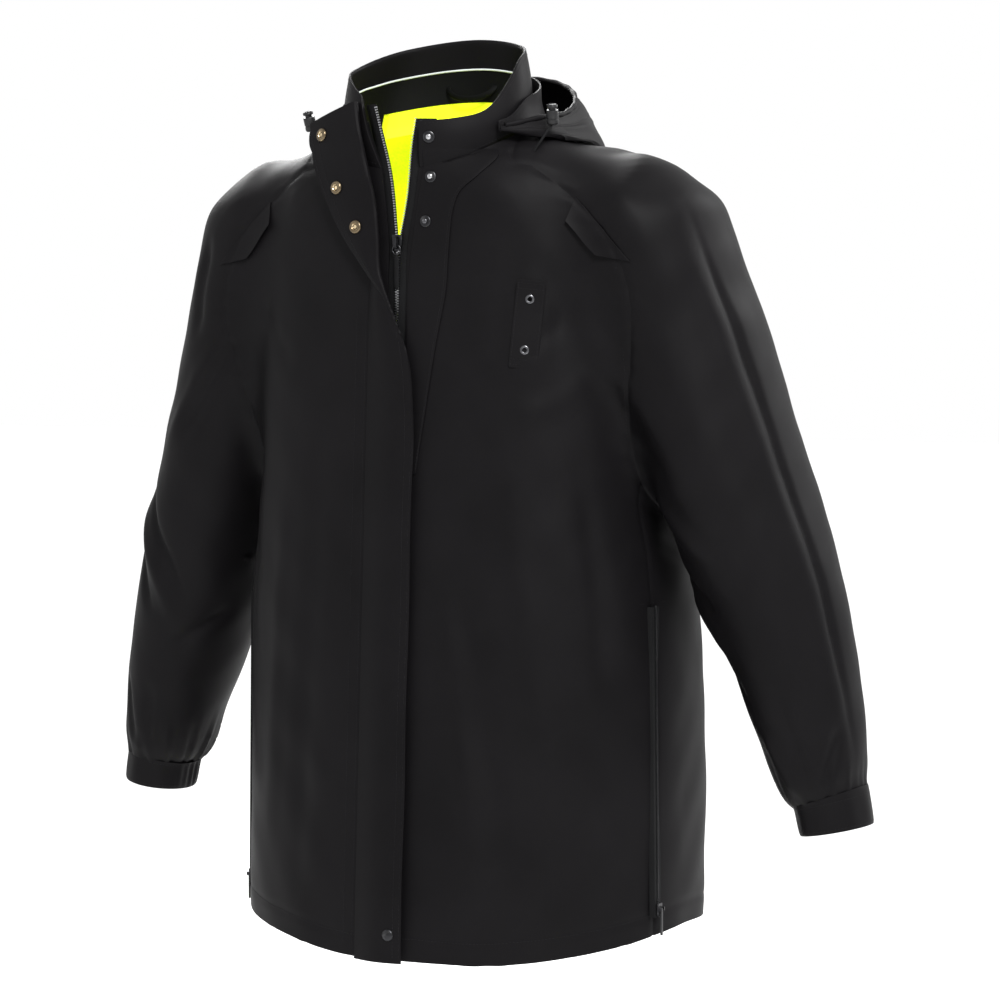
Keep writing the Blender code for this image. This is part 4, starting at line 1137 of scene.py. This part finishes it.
def make_cuffs(panels):
    """A two-layer band on each sleeve's end, drawn in by elastic round its back half."""
    turns = full_turn(220)
    rows = np.linspace(CUFF_SEAM - 0.16, CUFF_END, 22)
    share = (rows - rows[0]) / (rows[-1] - rows[0])
    for side, word in ((1, "left"), (-1, "right")):
        outer = sleeve_grid(rows, turns)
        inner = sleeve_grid(rows, turns, -CUFF_THICK)
        away = outer - inner
        away /= np.linalg.norm(away, axis=2, keepdims=True)
        elastic = smoothstep(np.sin(turns - 0.5), -0.1, 0.7)[None, :]
        swell = np.sin(math.pi * np.clip(share, 0, 1))[:, None] ** 0.6
        ripple = 0.0011 * elastic * swell * np.sin(turns * 27)[None, :]
        ripple += 0.0004 * np.sin(turns * 9 + 1.3)[None, :] * swell
        roll = -0.0012 * (1 - swell)
        grid = outer + away * (ripple + roll + 0.0006)[..., None]
        lip = CUFF_LIP * np.clip(1 - share / CUFF_LIP_SHARE, 0, 1)[:, None]
        back = inner + away * (ripple - roll + 0.0010 - lip)[..., None]
        cuff = slab(f"cuff_band_{word}", grid * [side, 1, 1], back * [side, 1, 1], SHELL_CLOTH, True)
        stands_for(cuff, f"forearm_{word}", "black_facing", f"cuff_{word}")
        lines = [outer[row] * [side, 1, 1] for row in (4, 18)]
        rounds = [np.vstack([line, line[:1]]) for line in lines]
        seams = stitches(f"cuff_stitches_{word}", rounds, tree_of(cuff), f"forearm_{word}")
        panels.update({f"cuff_{word}": cuff, f"cuff_stitches_{word}": seams})


# ---------------------------------------------------------------- collar


def collar_grid(heights, inset, steps):
    """Points on the collar, from the neck seam (0) to the top edge (1), at an inset from its outside."""
    turns = np.linspace(0, len(COLLAR_TOP) - 1, steps)
    tops = smooth(COLLAR_TOP, turns)
    share = (tops[:, 0] - tops[0, 0]) / (tops[-1, 0] - tops[0, 0])
    base_angle = np.radians(COLLAR_ENDS[0] + share * (COLLAR_ENDS[1] - COLLAR_ENDS[0]))
    top_angle = np.radians(tops[:, 0])
    base = body_grid([NECK], base_angle)[0]
    lean = np.clip((share - 0.75) * 4, 0, 1) * 0.006
    top = np.stack([
        (0.092 + lean) * np.sin(top_angle),
        0.010 - (0.080 + lean) * np.cos(top_angle),
        tops[:, 1],
    ], axis=-1)
    away = (base - COLLAR_CENTRE) * [1, 1, 0]
    away /= np.linalg.norm(away, axis=1, keepdims=True)
    wander = 0.0010 * np.sin(share * 19) + 0.0007 * np.sin(share * 41 + 1)
    down = base - top
    down *= TUCKED_DEPTH / np.linalg.norm(down, axis=1, keepdims=True)
    down -= away * TUCKED_INSET
    rows = []
    for height in heights:
        ring = base + (top - base) * height if height > 0 else base + down * -height
        belly = 0.004 * math.sin(math.pi * height) + wander * max(0.0, math.sin(math.pi * height))
        edge = 0.0009 * max(0.0, (height - 0.97) / 0.03)
        rows.append(ring + away * (belly - inset * (1 - edge / 0.0016))[:, None])
    return np.array(rows)


def make_collar(panels):
    """The standing collar, the facing band and neck lining inside it, its piping and its hanger loop."""
    steps = 220
    heights = np.concatenate([np.linspace(-0.07, 0.95, 26), [0.975, 0.99, 1.0]])
    outer, inner = (collar_grid(heights, inset, steps) for inset in (0, 0.0034))
    collar = slab("collar_cloth", outer, inner, SHELL_CLOTH)
    bevelled(collar, 0.0007)
    stands_for(collar, "coat", "black_shell", "collar")
    band_heights = np.linspace(BAND_LOW, PIPING_HEIGHT, 18)
    outer, inner = (collar_grid(band_heights, inset, steps) for inset in (0.0036, 0.0052))
    band = slab("collar_band", outer, inner, FACING_CLOTH)
    stands_for(band, "coat", "black_facing", "collar_facing")
    low_heights = np.linspace(-0.12, BAND_LOW + 0.06, 14)
    first, last = round(0.285 * steps), round(0.98 * steps)
    outer, inner = (collar_grid(low_heights, inset, steps) for inset in (0.0034, 0.0044))
    neck = slab("neck_lining", outer[:, first:last], inner[:, first:last], LINING_CLOTH)
    stands_for(neck, "coat", "hi_vis_lining")
    end = slab("collar_band_end", outer[:, :first + 3], inner[:, :first + 3], FACING_CLOTH)
    stands_for(end, "coat", "black_facing")
    route = collar_grid((PIPING_HEIGHT,), 0.0056, steps)[0][5:-5]
    piping = tube("collar_cord_edge", route, 0.00105, PIPING_CLOTH, 8)
    stands_for(piping, "coat", "silver_piping", "collar_piping")
    lines = [collar_grid((height,), 0, steps)[0][4:-4] for height in (0.05, 0.93)]
    seams = stitches("collar_stitches", lines, tree_of(collar), "coat")

    bends = np.linspace(math.pi, 2 * math.pi, 40)
    across, down = np.cos(bends), np.sin(bends)
    hang = np.stack([0.027 * across, 0.0835 + 0.0070 * down, 0.062 + 0.013 * down], axis=-1)
    loop = tube("hanger_strip", hang, 0.0030, FACING_CLOTH, 10, 0.3, (0, 1, 0.2))
    stands_for(loop, "coat", "black_facing", "hanger_loop")
    panels.update(collar=collar, band=band, neck_lining=neck, band_end=end, piping=piping,
                  collar_stitches=seams, hanger=loop)


# ---------------------------------------------------------------- hood


def hood_ring(turn, steps):
    """The hood's section at a turn from the centre back, as points in space."""
    places = np.linspace(0, len(HOOD_BACK) - 1, steps)
    power = 1.6 + (1.9 if turn > 0 else 0.5) * smoothstep(places, 4.0, 8.0)
    share = max(0.0, math.cos(turn * 90 / HOOD_SWEEP)) ** power[:, None]
    line = smooth(HOOD_FRONT, places) * (1 - share) + smooth(HOOD_BACK, places) * share
    full = smoothstep(HOOD_SWEEP - abs(math.degrees(turn)), 0, 26)
    line[:, 0] = 0.004 + (line[:, 0] - 0.004) * (0.25 + 0.75 * full)
    line[:, 1] = 0.010 + (line[:, 1] - 0.010) * (0.3 + 0.7 * full)
    return np.stack([
        (0.100 + line[:, 0]) * math.sin(turn),
        0.012 + (0.092 + line[:, 0]) * math.cos(turn),
        line[:, 1],
    ], axis=-1)


def make_hood(panels):
    """A pouch that hangs round the back of the collar, with its corded brim along its outer rim."""
    columns, rows = 170, 84
    turns = np.radians(HOOD_SWEEP) * np.linspace(-1, 1, columns)
    outer = np.array([hood_ring(turn, rows) for turn in turns])
    tree = tree_of(*(panels[name] for name in SHELL))
    for point in outer.reshape(-1, 3):
        hit = tree.ray_cast(Vector((point[0], point[1], 1)), Vector((0, 0, -1)))[0]
        if hit is not None:
            point[2] = max(point[2], hit.z + HOOD_CLEAR)
    for _ in range(6):
        outer[1:-1, 1:-1, 2] = neighbours(outer[..., 2])
    normals = np.cross(np.gradient(outer, axis=0), np.gradient(outer, axis=1))
    normals /= np.linalg.norm(normals, axis=2, keepdims=True)
    across = np.linspace(0, 1, rows)[None, :]
    window = np.sin(math.pi * across) ** 0.8 * np.cos(turns[:, None] * 90 / HOOD_SWEEP * 0.9)
    bend = turns[:, None]
    sag = 0.0026 * np.sin(across * 17 + 1.3 * np.cos(bend * 1.4)) * smoothstep(across, 0.35, 0.55)
    sag = sag + 0.0016 * np.sin(bend * 7 + across * 6) + 0.0010 * np.sin(bend * 15 - across * 9 + 2)
    sag = sag - 0.0014 * np.exp(-((across - 0.80) / 0.012) ** 2)
    outer = outer + normals * (sag * window)[..., None]
    hood = slab("hood_cloth", outer, outer + normals * 0.0016, SHELL_CLOTH)
    stands_for(hood, "coat", "black_shell", "hood")
    rim = outer[:, -1] + normals[:, -1] * 0.0008 + [0, 0, 0.0016]
    ripple = 0.0026 + 0.00035 * np.sin(np.arange(columns) * 0.9)
    casing = tube("hood_brim", rim[2:-2], ripple[2:-2], SHELL_CLOTH, 14)
    stands_for(casing, "coat", "black_shell", "hood_drawcord")
    lines = [outer[3:-3, row] for row in (rows - 6, rows - 14)]
    seams = stitches("hood_stitches", lines, tree_of(hood), "coat")
    panels.update(hood=hood, brim=casing, hood_stitches=seams)


def make_cord_locks():
    """A spring lock on each end of the hood's cord, its button, and the cord's short end."""
    barrel = ((0, -0.0085), (0.0046, -0.0085), (0.0056, -0.0078), (0.0060, -0.0066), (0.0060, -0.0035),
              (0.0055, -0.0031), (0.0055, -0.0024), (0.0060, -0.0020), (0.0060, 0.0050), (0.0056, 0.0060),
              (0.0041, 0.0060), (0.0041, 0.0020), (0, 0.0020))
    button = ((0, 0.0055), (0.0034, 0.0055), (0.0034, 0.0083), (0.0048, 0.0084), (0.0053, 0.0088),
              (0.0053, 0.0104), (0.0048, 0.0112), (0.0036, 0.0119), (0.0026, 0.0115), (0, 0.0113))
    for side, word in ((1, "left"), (-1, "right")):
        axis, origin = (np.array(row) * [side, 1, 1] for row in (LOCK_AXIS, LOCK_CENTRE))
        for kind, profile, node in (("barrel", barrel, "cord_lock"), ("button", button, "cord_lock_button")):
            made = lathe(f"lock_{kind}_{word}", profile, origin, axis, PLASTIC, 40)
            body = "cord_lock" if kind == "barrel" else "cord_button"
            stands_for(made, f"{body}_{word}", "black_plastic", f"{node}_{word}")
        drop = origin - axis * 0.0080 + np.array(CORD_DROP) * [side, 1, 1]
        route = smooth(drop, np.linspace(0, len(drop) - 1, 50))
        tail = tube(f"hood_cord_{word}", route, 0.0013, TAPE_CLOTH)
        stands_for(tail, f"cord_lock_{word}", "black_plastic")


# ---------------------------------------------------------------- storm flap


def flap_section(seam, fold, edge, points, lift):
    """One section of the flap: out from its seam, round its fold and back over to its free edge."""
    under = fold - seam
    over = edge - fold
    back_length = np.linalg.norm(over)
    radius = min(0.0024, back_length * 0.16)
    first = np.linalg.norm(under)
    turn = math.pi * radius
    total = first + turn + back_length
    toward = under / first
    out = FRONT - toward * (FRONT @ toward)
    out /= np.linalg.norm(out)
    centre = fold + out * radius - toward * radius
    section = []
    for share in np.linspace(0, 1, points):
        run = share * total
        if run < first:
            part = run / first
            point = seam + under * part - toward * radius * part
            point = point + FRONT * lift * math.sin(math.pi * part) * (1 - min(1, back_length / 0.03))
        elif run < first + turn:
            angle = (run - first) / max(radius, 1e-6)
            point = centre + toward * radius * math.sin(angle) - out * radius * math.cos(angle)
        else:
            part = (run - first - turn) / max(back_length, 1e-6)
            start = centre + out * radius
            point = start + (edge - start) * part
            point = point + FRONT * 0.0030 * math.sin(math.pi * part) * min(1, back_length / 0.03)
        section.append(point)
    return np.array(section)


def make_flap(panels, tree):
    """The storm flap: rolled back like a lapel beside the open neck, and buttoned over the zip below."""
    def sewn(x, z):
        return np.array([x, front_hit(tree, x, z)[0].y - 0.0004, z])

    folds = [np.array(point) for point in FLAP_FOLD]
    edges = [np.array(point) for point in FLAP_EDGE]
    seams = [sewn(fold[0] - drop, fold[2]) for fold, drop in zip(folds, FLAP_ROOT)]
    for x_fold, z_fold, x_edge, z_edge in FLAP_BREAK:
        lift = 0.0085
        folds.append(np.array([x_fold, zip_plane(z_fold) - lift, z_fold]))
        edges.append(np.array([x_edge, zip_plane(z_edge) - lift + 0.001, z_edge]))
        seams.append(sewn(FLAP_SEAM_X, z_edge))
    for z in np.linspace(FLAP_BREAK[-1][3] - 0.05, FLAP_BOTTOM_Z, 9):
        folds.append(np.array([FLAP_EDGE_X - 0.0006, zip_plane(z) - 0.0066, z]))
        edges.append(np.array([FLAP_EDGE_X, zip_plane(z) - 0.0065, z]))
        seams.append(sewn(FLAP_SEAM_X, max(z, -0.808)) * [1, 1, 0] + [0, 0, z])
    fine = np.concatenate([np.linspace(0, 11, 110, endpoint=False), np.linspace(11, len(folds) - 1, 130)])
    folds, edges, seams = (smooth(line, fine) for line in (folds, edges, seams))
    grid = np.array([flap_section(*three, FLAP_COLUMNS, 0.0052) for three in zip(seams, folds, edges)])
    wave = 0.0009 * np.sin(fine * 2.1)[:, None] * np.linspace(0, 1, FLAP_COLUMNS)[None, :] ** 2
    grid[..., 1] -= wave * smoothstep(-grid[:, :1, 2], 0.2, 0.3)
    normals = np.cross(np.gradient(grid, axis=0), np.gradient(grid, axis=1))
    normals /= np.linalg.norm(normals, axis=2, keepdims=True)
    flap = slab("storm_flap_cloth", grid + normals * 0.0009, grid - normals * 0.0009, FLAP_CLOTH)
    bevelled(flap, 0.0005)
    face = tree_of(flap)
    inset = [grid[6:-2, column] for column in (43, 38)]
    threads = stitches("storm_flap_stitches", inset, face, None)
    for thing in (flap, threads):
        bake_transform(thing, "coat", "storm_flap", (0, -0.08, -0.16), (0, -0.08, -0.26))
        weights = np.empty(len(thing.data.vertices))
        layer = thing.data.attributes["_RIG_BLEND"].data
        layer.foreach_get("value", weights)
        weights *= smoothstep(corners(thing.data)[:, 0], FLAP_SEAM_X, FLAP_SEAM_X + 0.010)
        layer.foreach_set("value", weights)
    stands_for(flap, None, "black_shell", "storm_flap_lower", "storm_flap_upper")
    panels.update(flap=flap, flap_stitches=threads)
    return face


# ---------------------------------------------------------------- front zip


def zip_points(chain, offset, lift, trim):
    """The zip's line in space, moved sideways and forward, without its last places."""
    line = chain_line(chain, offset)
    line = line[:len(line) - trim]
    return np.stack([line[:, 0], zip_plane(line[:, 1]) - lift, line[:, 1]], axis=-1)


def zip_tooth(middle, across, way):
    points = []
    for depth in (-1, 1):
        for out, wide in TOOTH_PROFILE:
            for end in (-1, 1):
                points.append(middle + across * out * TOOTH_HALF + way * end * wide * TOOTH_LENGTH
                              + FRONT * depth * (0.0011 - 0.0002 * abs(out)))
    return points, TOOTH_FACES


def make_zip():
    """The front zip's two ribbons with their interlocking teeth, and the slider's ring and strap."""
    for side, word, chain, trim in ((1, "left", LEFT_CHAIN, 2), (-1, "right", RIGHT_CHAIN, 0)):
        rows = []
        for offset, lift in RIBBON:
            line = zip_points(chain, side * offset, lift, trim)
            line[:, 1] += (offset / 0.018) ** 2 * 0.0085 * smoothstep(line[:, 2], -0.05, 0.02)
            tails = [line[0] - np.array([0, ZIP_SLOPE, 1]) * drop for drop in (0.026, 0.013)]
            rows.append(np.concatenate([tails, line]))
        grid = np.stack(rows, axis=1)
        tape = slab(f"zip_ribbon_{word}", grid, grid + [0, 0.0007, 0], TAPE_CLOTH)
        stands_for(tape, "coat", "zip_tape", f"zip_tape_{word}")
        teeth = []
        for place, way in zip(*along(zip_points(chain, 0.0, 0.0, trim), TOOTH_PITCH)):
            across = np.cross(way, FRONT)
            across *= side * np.sign(across[0])
            shift = way * TOOTH_PITCH * 0.25 * side
            teeth.append(zip_tooth(place + across * 0.0010 + shift - FRONT * 0.0002, across, way))
        row = turned_out(many(f"zip_chain_{word}", teeth, TEETH))
        row.data.shade_flat()
        stands_for(row, "coat", "gunmetal", f"zip_teeth_{word}")
    ring_low, ring_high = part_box("zip_pull_ring")
    centre = (ring_low + ring_high) / 2
    wire = 0.00075
    profile = [(0.0046 + wire * math.cos(a), wire * math.sin(a)) for a in full_turn(10)]
    ring = lathe("pull_ring", profile, centre, (0, 1, 0), DARK_STEEL, 48, True)
    stands_for(ring, "main_zip_pull", "gunmetal", "zip_pull_ring")
    low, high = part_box("zip_pull_strap")
    middle = (low + high) / 2
    heights = np.linspace(high.z + 0.0012, low.z, 30)
    route = np.stack([np.full(30, middle.x), np.full(30, middle.y), heights], axis=-1)
    widths = 0.0028 * np.minimum(1, np.sqrt(np.linspace(0.10, 8, 30)))
    widths *= np.minimum(1, np.sqrt(np.linspace(9, 0.10, 30)))
    strap = tube("pull_strap", route, widths, TAPE_CLOTH, 16, 0.32, (0, 1, 0))
    stands_for(strap, "main_zip_pull", "black_plastic", "zip_pull_strap")


# ---------------------------------------------------------------- small pieces sewn on the fronts


def make_snaps(flap_face, front_face):
    """Three brass sockets on the turned-back flap, the studs they close on, and the snap at the hem."""
    socket = ((0, 0.0006), (0.0016, 0.0006), (0.0019, 0.0011), (0.0030, 0.0013), (0.0034, 0.0020),
              (0.0041, 0.0024), (0.0056, 0.0022), (0.0064, 0.0016), (0.0068, 0.0006), (0.0068, -0.0002),
              (0, -0.0002))
    stud = ((0, 0.0033), (0.0012, 0.0032), (0.0018, 0.0026), (0.0019, 0.0014), (0.0026, 0.0011),
            (0.0046, 0.0013), (0.0056, 0.0010), (0.0061, 0.0002), (0.0061, -0.0002), (0, -0.0002))
    cap = ((0, 0.0019), (0.0035, 0.0017), (0.0052, 0.0011), (0.0060, 0.0003), (0.0061, -0.0002), (0, -0.0002))
    cup = ((0, 0.0008), (0.0026, 0.0009), (0.0033, 0.0019), (0.0036, 0.0019), (0.0037, 0.0002), (0, 0.0002))
    knob = ((0, 0.0036), (0.0020, 0.0034), (0.0028, 0.0027), (0.0028, 0.0008), (0, 0.0008))
    for word, x, z in SOCKETS:
        place, normal = seen_ahead(flap_face, x, z)
        made = lathe(f"socket_{word}", socket, place, normal, BRASS, 48)
        stands_for(made, "coat", "antique_brass", f"snap_socket_{word}")
        stands_for(lathe(f"socket_cup_{word}", cup, place, normal, BRIGHT_BRASS), "coat", "antique_brass")
    for (word, x, z), finish in zip(STUDS, (BRIGHT_STEEL, BRIGHT_STEEL, STEEL)):
        place, normal = seen_ahead(front_face, x, z)
        made = lathe(f"stud_{word}", stud, place, normal, DARK_STEEL, 48)
        stands_for(made, "coat", "gunmetal", f"snap_stud_{word}")
        stands_for(lathe(f"stud_knob_{word}", knob, place, normal, finish), "coat", "gunmetal")
    x, _, z = centre_of("snap_socket_hem")
    made = lathe("socket_hem", cap, *seen_ahead(flap_face, x, z), DARK_STEEL, 48)
    stands_for(made, "storm_flap", "gunmetal", "snap_socket_hem")
    x, y, z = centre_of("snap_stud_hem")
    made = lathe("stud_hem", stud, (x, y + 0.0009, z), FRONT, DARK_STEEL, 48)
    stands_for(made, "coat", "gunmetal", "snap_stud_hem")


def make_badge(panels):
    """The stiff cloth tab on the left chest, its two eyelets and its stitched ends."""
    low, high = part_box("badge_tab")
    centre = (low + high) / 2
    turn = Matrix.Rotation(math.radians(24), 3, "Z") @ Matrix.Rotation(math.radians(6), 3, "Y")
    face = turn @ Vector(FRONT)
    centre = centre - face * 0.0009
    half_width, half_height, corner = 0.0145, 0.0435, 0.0022
    rows = np.concatenate([np.linspace(-1, -0.95, 5), np.linspace(-0.93, 0.93, 40), np.linspace(0.95, 1, 5)])
    columns = np.linspace(-1, 1, 17)

    def place(u, v, lift):
        end = max(0.0, abs(v) * half_height - (half_height - corner))
        width = half_width - corner + math.sqrt(max(0.0, corner**2 - end**2))
        curve = 0.0006 * (u * u) + 0.0005 * math.sin(v * 4)
        return np.array(centre + turn @ Vector((u * width, -lift + curve, v * half_height)))

    outer, inner = (np.array([[place(u, v, lift) for u in columns] for v in rows])
                    for lift in (0.0013, -0.0005))
    tab = slab("badge_tab_cloth", outer, inner, SHELL_CLOTH)
    bevelled(tab, 0.0004)
    for word, height in (("top", 0.025), ("bottom", -0.025)):
        spot = centre + turn @ Vector((0, -0.0006, height))
        drill = ((0, -0.01), (0.0038, -0.01), (0.0038, 0.01), (0, 0.01))
        hole = lathe(f"hole_{word}", drill, spot, face, None)
        cut = tab.modifiers.new("hole", "BOOLEAN")
        cut.object = hole
        cut.operation = "DIFFERENCE"
        cut.solver = "EXACT"
        evaluated(tab)
        remove(hole)
        profile = ((0.0020, -0.0012), (0.0037, -0.0012), (0.0038, 0.0007), (0.0044, 0.0008), (0.0044, 0.0012),
                   (0.0038, 0.0016), (0.0030, 0.0017), (0.0023, 0.0013), (0.0020, 0.0006))
        eyelet = lathe(f"eyelet_{word}", profile, spot, face, STEEL, 48, True)
        stands_for(eyelet, "coat", "gunmetal", f"badge_eyelet_{word}")
    stands_for(tab, "coat", "black_shell", "badge_tab")
    seam = 0.86
    lines = [[place(u, v, 0.0013) for u in (-seam, seam)] for v in (-0.92, -0.80, 0.80, 0.92)]
    lines += [[place(u, v, 0.0013) for v in np.linspace(-0.92, 0.92, 12)] for u in (-seam, seam)]
    panels["badge_stitches"] = stitches("badge_stitches", lines, tree_of(tab), "coat", 0.0030, 0.0021)
    panels["badge"] = tab


def make_shoulder_flaps(panels, tree):
    """A short flap over each raglan seam, sewn along its upper edge and standing a little off the cloth."""
    upper = ((0.174, -0.057), (0.193, -0.076), (0.214, -0.098), (0.235, -0.121))
    lower = ((0.168, -0.081), (0.178, -0.092), (0.188, -0.104), (0.199, -0.115))
    upper, lower = (smooth(line, np.linspace(0, 3, 46)) for line in (upper, lower))
    share = np.linspace(0, 1, 14)[None, :, None]
    lift = 0.0002 + 0.0034 * share ** 2
    for side, word in ((1, "left"), (-1, "right")):
        grid = (upper[:, None, :] * (1 - share) + lower[:, None, :] * share) * [side, 1]
        base, normals = front_grid(tree, grid)
        out = normals.mean(axis=(0, 1))
        out /= np.linalg.norm(out)
        flap = slab(f"shoulder_cloth_{word}", base + out * (lift + 0.0014), base + out * lift, SHELL_CLOTH)
        bevelled(flap, 0.0004)
        stands_for(flap, "coat", "black_shell", f"shoulder_flap_{word}")
        panels[f"shoulder_{word}"] = flap
        panels[f"shoulder_stitches_{word}"] = stitches(
            f"shoulder_stitches_{word}", [base[2:-2, 1], base[2:-2, 11]], tree_of(flap), "coat")


def make_placket(panels, tree):
    """The second layer on the left front that the storm flap closes on, beside the zip."""
    inner = ((0.0280, -0.006), (0.0275, -0.018), (0.0260, -0.032), (0.0240, -0.047), (0.0210, -0.066),
             (0.0185, -0.085), (0.0150, -0.115), (0.0125, -0.150), (0.0125, -0.200), (0.0125, -0.275),
             (0.0125, -0.330))
    outer = ((0.0900, -0.006), (0.0960, -0.018), (0.0820, -0.036), (0.0665, -0.051), (0.0600, -0.069),
             (0.0575, -0.090), (0.0560, -0.118), (0.0545, -0.150), (0.0455, -0.200), (0.0345, -0.275),
             (0.0262, -0.330))
    inner, outer = (smooth(line, np.linspace(0, len(line) - 1, 120)) for line in (inner, outer))
    share = np.linspace(0, 1, 30)[None, :, None]
    grid = inner[:, None, :] * (1 - share) + outer[:, None, :] * share
    placket = patch("placket_cloth", grid, tree, 0.0016, 12, SHELL_CLOTH)
    stands_for(placket, "coat", "black_shell", "placket_left")
    panels["placket"] = placket
    face = tree_of(placket)
    edge = [on_front(face, x, z) for x, z in grid[24:-2, -3]]
    panels["placket_stitches"] = stitches("placket_stitches", [edge], face, "coat")


def make_vents(panels, tree):
    """The side zips: their ribbons, fine teeth, and the tack across each one's top."""
    heights = np.linspace(VENT_TOP_Z, VENT_BOTTOM_Z, 90)
    x = np.interp(heights, [VENT_BOTTOM_Z, VENT_TOP_Z], [VENT_X_BOTTOM, VENT_X_TOP])
    spread = ((-0.0085, -0.0034), (-0.0072, 0.0012), (-0.0050, 0.0016), (-0.0022, 0.0009), (0.0022, 0.0009),
              (0.0050, 0.0016), (0.0072, 0.0012), (0.0085, -0.0034))

    def line(side, lift, across):
        return np.stack([side * (x + lift), np.full(90, SIDE_SEAM_Y + across), heights], axis=-1)

    for side, word in ((1, "left"), (-1, "right")):
        outer = np.stack([line(side, lift, across) for across, lift in spread], axis=1)
        tape = slab(f"vent_ribbon_{word}", outer, outer - [side * 0.0008, 0, 0], TAPE_CLOTH)
        stands_for(tape, "coat", "zip_tape", f"vent_tape_{word}")
        out = np.array([side, 0.0, 0.0])
        aft = np.array([0.0, 1.0, 0.0])
        shapes = []
        for place, way in zip(*along(line(side, 0.0016, 0), TOOTH_PITCH)):
            for turn in (-1, 1):
                middle = place + aft * turn * 0.0008 + way * turn * 0.00065
                shapes.append(bead(middle, aft, out, 0.0022, 0.0010, 0.0018))
        teeth = many(f"vent_chain_{word}", shapes, DARK_STEEL)
        stands_for(teeth, "coat", "gunmetal", f"vent_teeth_{word}")
        ends = [tree.find_nearest(Vector((side * 0.236, SIDE_SEAM_Y + across, VENT_TOP_Z + 0.004)))[0]
                for across in (-0.020, 0.020)]
        tack = stitches(f"vent_tack_{word}", [ends], tree, "coat", 0.0020, 0.0016)
        panels.update({f"vent_{word}": tape, f"vent_tack_{word}": tack})


def finish_hardware():
    """Better metal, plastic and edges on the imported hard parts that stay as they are."""
    for node in ("zip_bottom_stop", "zip_slider", "zip_slider_back", "vent_slider_left", "vent_slider_right",
                 "vent_pull_left", "vent_pull_right"):
        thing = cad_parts[node]
        for place in thing.material_slots:
            place.link = "OBJECT"
            place.material = PLASTIC if "pull" in node else DARK_STEEL
        edge_bevel(thing, 0.0003)


def make_seams(panels, tree):
    """Thread lines along the hem, beside the storm flap's seam, and along the raglan seams."""
    turns = np.linspace(0, 2 * math.pi, 500)
    ring = body_grid([0.0], turns)[0]
    ring[:, 2] += HEM_LINE + hem_shift(ring)
    hem_lines = [ring[ring[:, 0] >= 0.02], ring[ring[:, 0] <= -0.02]]
    hem_lines = [line[np.argsort(np.arctan2(line[:, 0], -(line[:, 1] - 0.09)))] for line in hem_lines]
    panels["hem_stitches"] = stitches("hem_stitches", hem_lines, tree, "coat")
    lines = [[on_front(tree, x, z) for z in np.linspace(-0.165, -0.800, 60)] for x in (-0.0350, -0.0455)]
    panels["front_stitches"] = stitches("front_stitches", lines, tree, "coat")
    seam = RAGLAN_LINE[(RAGLAN_LINE[:, 1] < -0.002) & (RAGLAN_LINE[:, 1] > -0.30)]
    raglan = [[on_front(tree, side * (x - 0.004), z) for x, z in seam[::2] if x < 0.228] for side in (-1, 1)]
    panels["raglan_stitches"] = stitches("raglan_stitches", raglan, tree, "coat")


def main():
    make_stage()
    panels = make_coat()
    make_cuffs(panels)
    make_collar(panels)
    make_hood(panels)
    make_cord_locks()
    shell = tree_of(*(panels[name] for name in SHELL))
    make_placket(panels, tree_of(panels["front_left"], panels["collar"]))
    under_flap = tree_of(*(panels[name] for name in ("front_left", "front_right", "collar")))
    flap_face = make_flap(panels, under_flap)
    make_zip()
    make_snaps(flap_face, tree_of(*(panels[name] for name in ("front_left", "collar", "placket"))))
    make_badge(panels)
    make_shoulder_flaps(panels, shell)
    make_vents(panels, shell)
    make_seams(panels, shell)
    finish_hardware()


main()
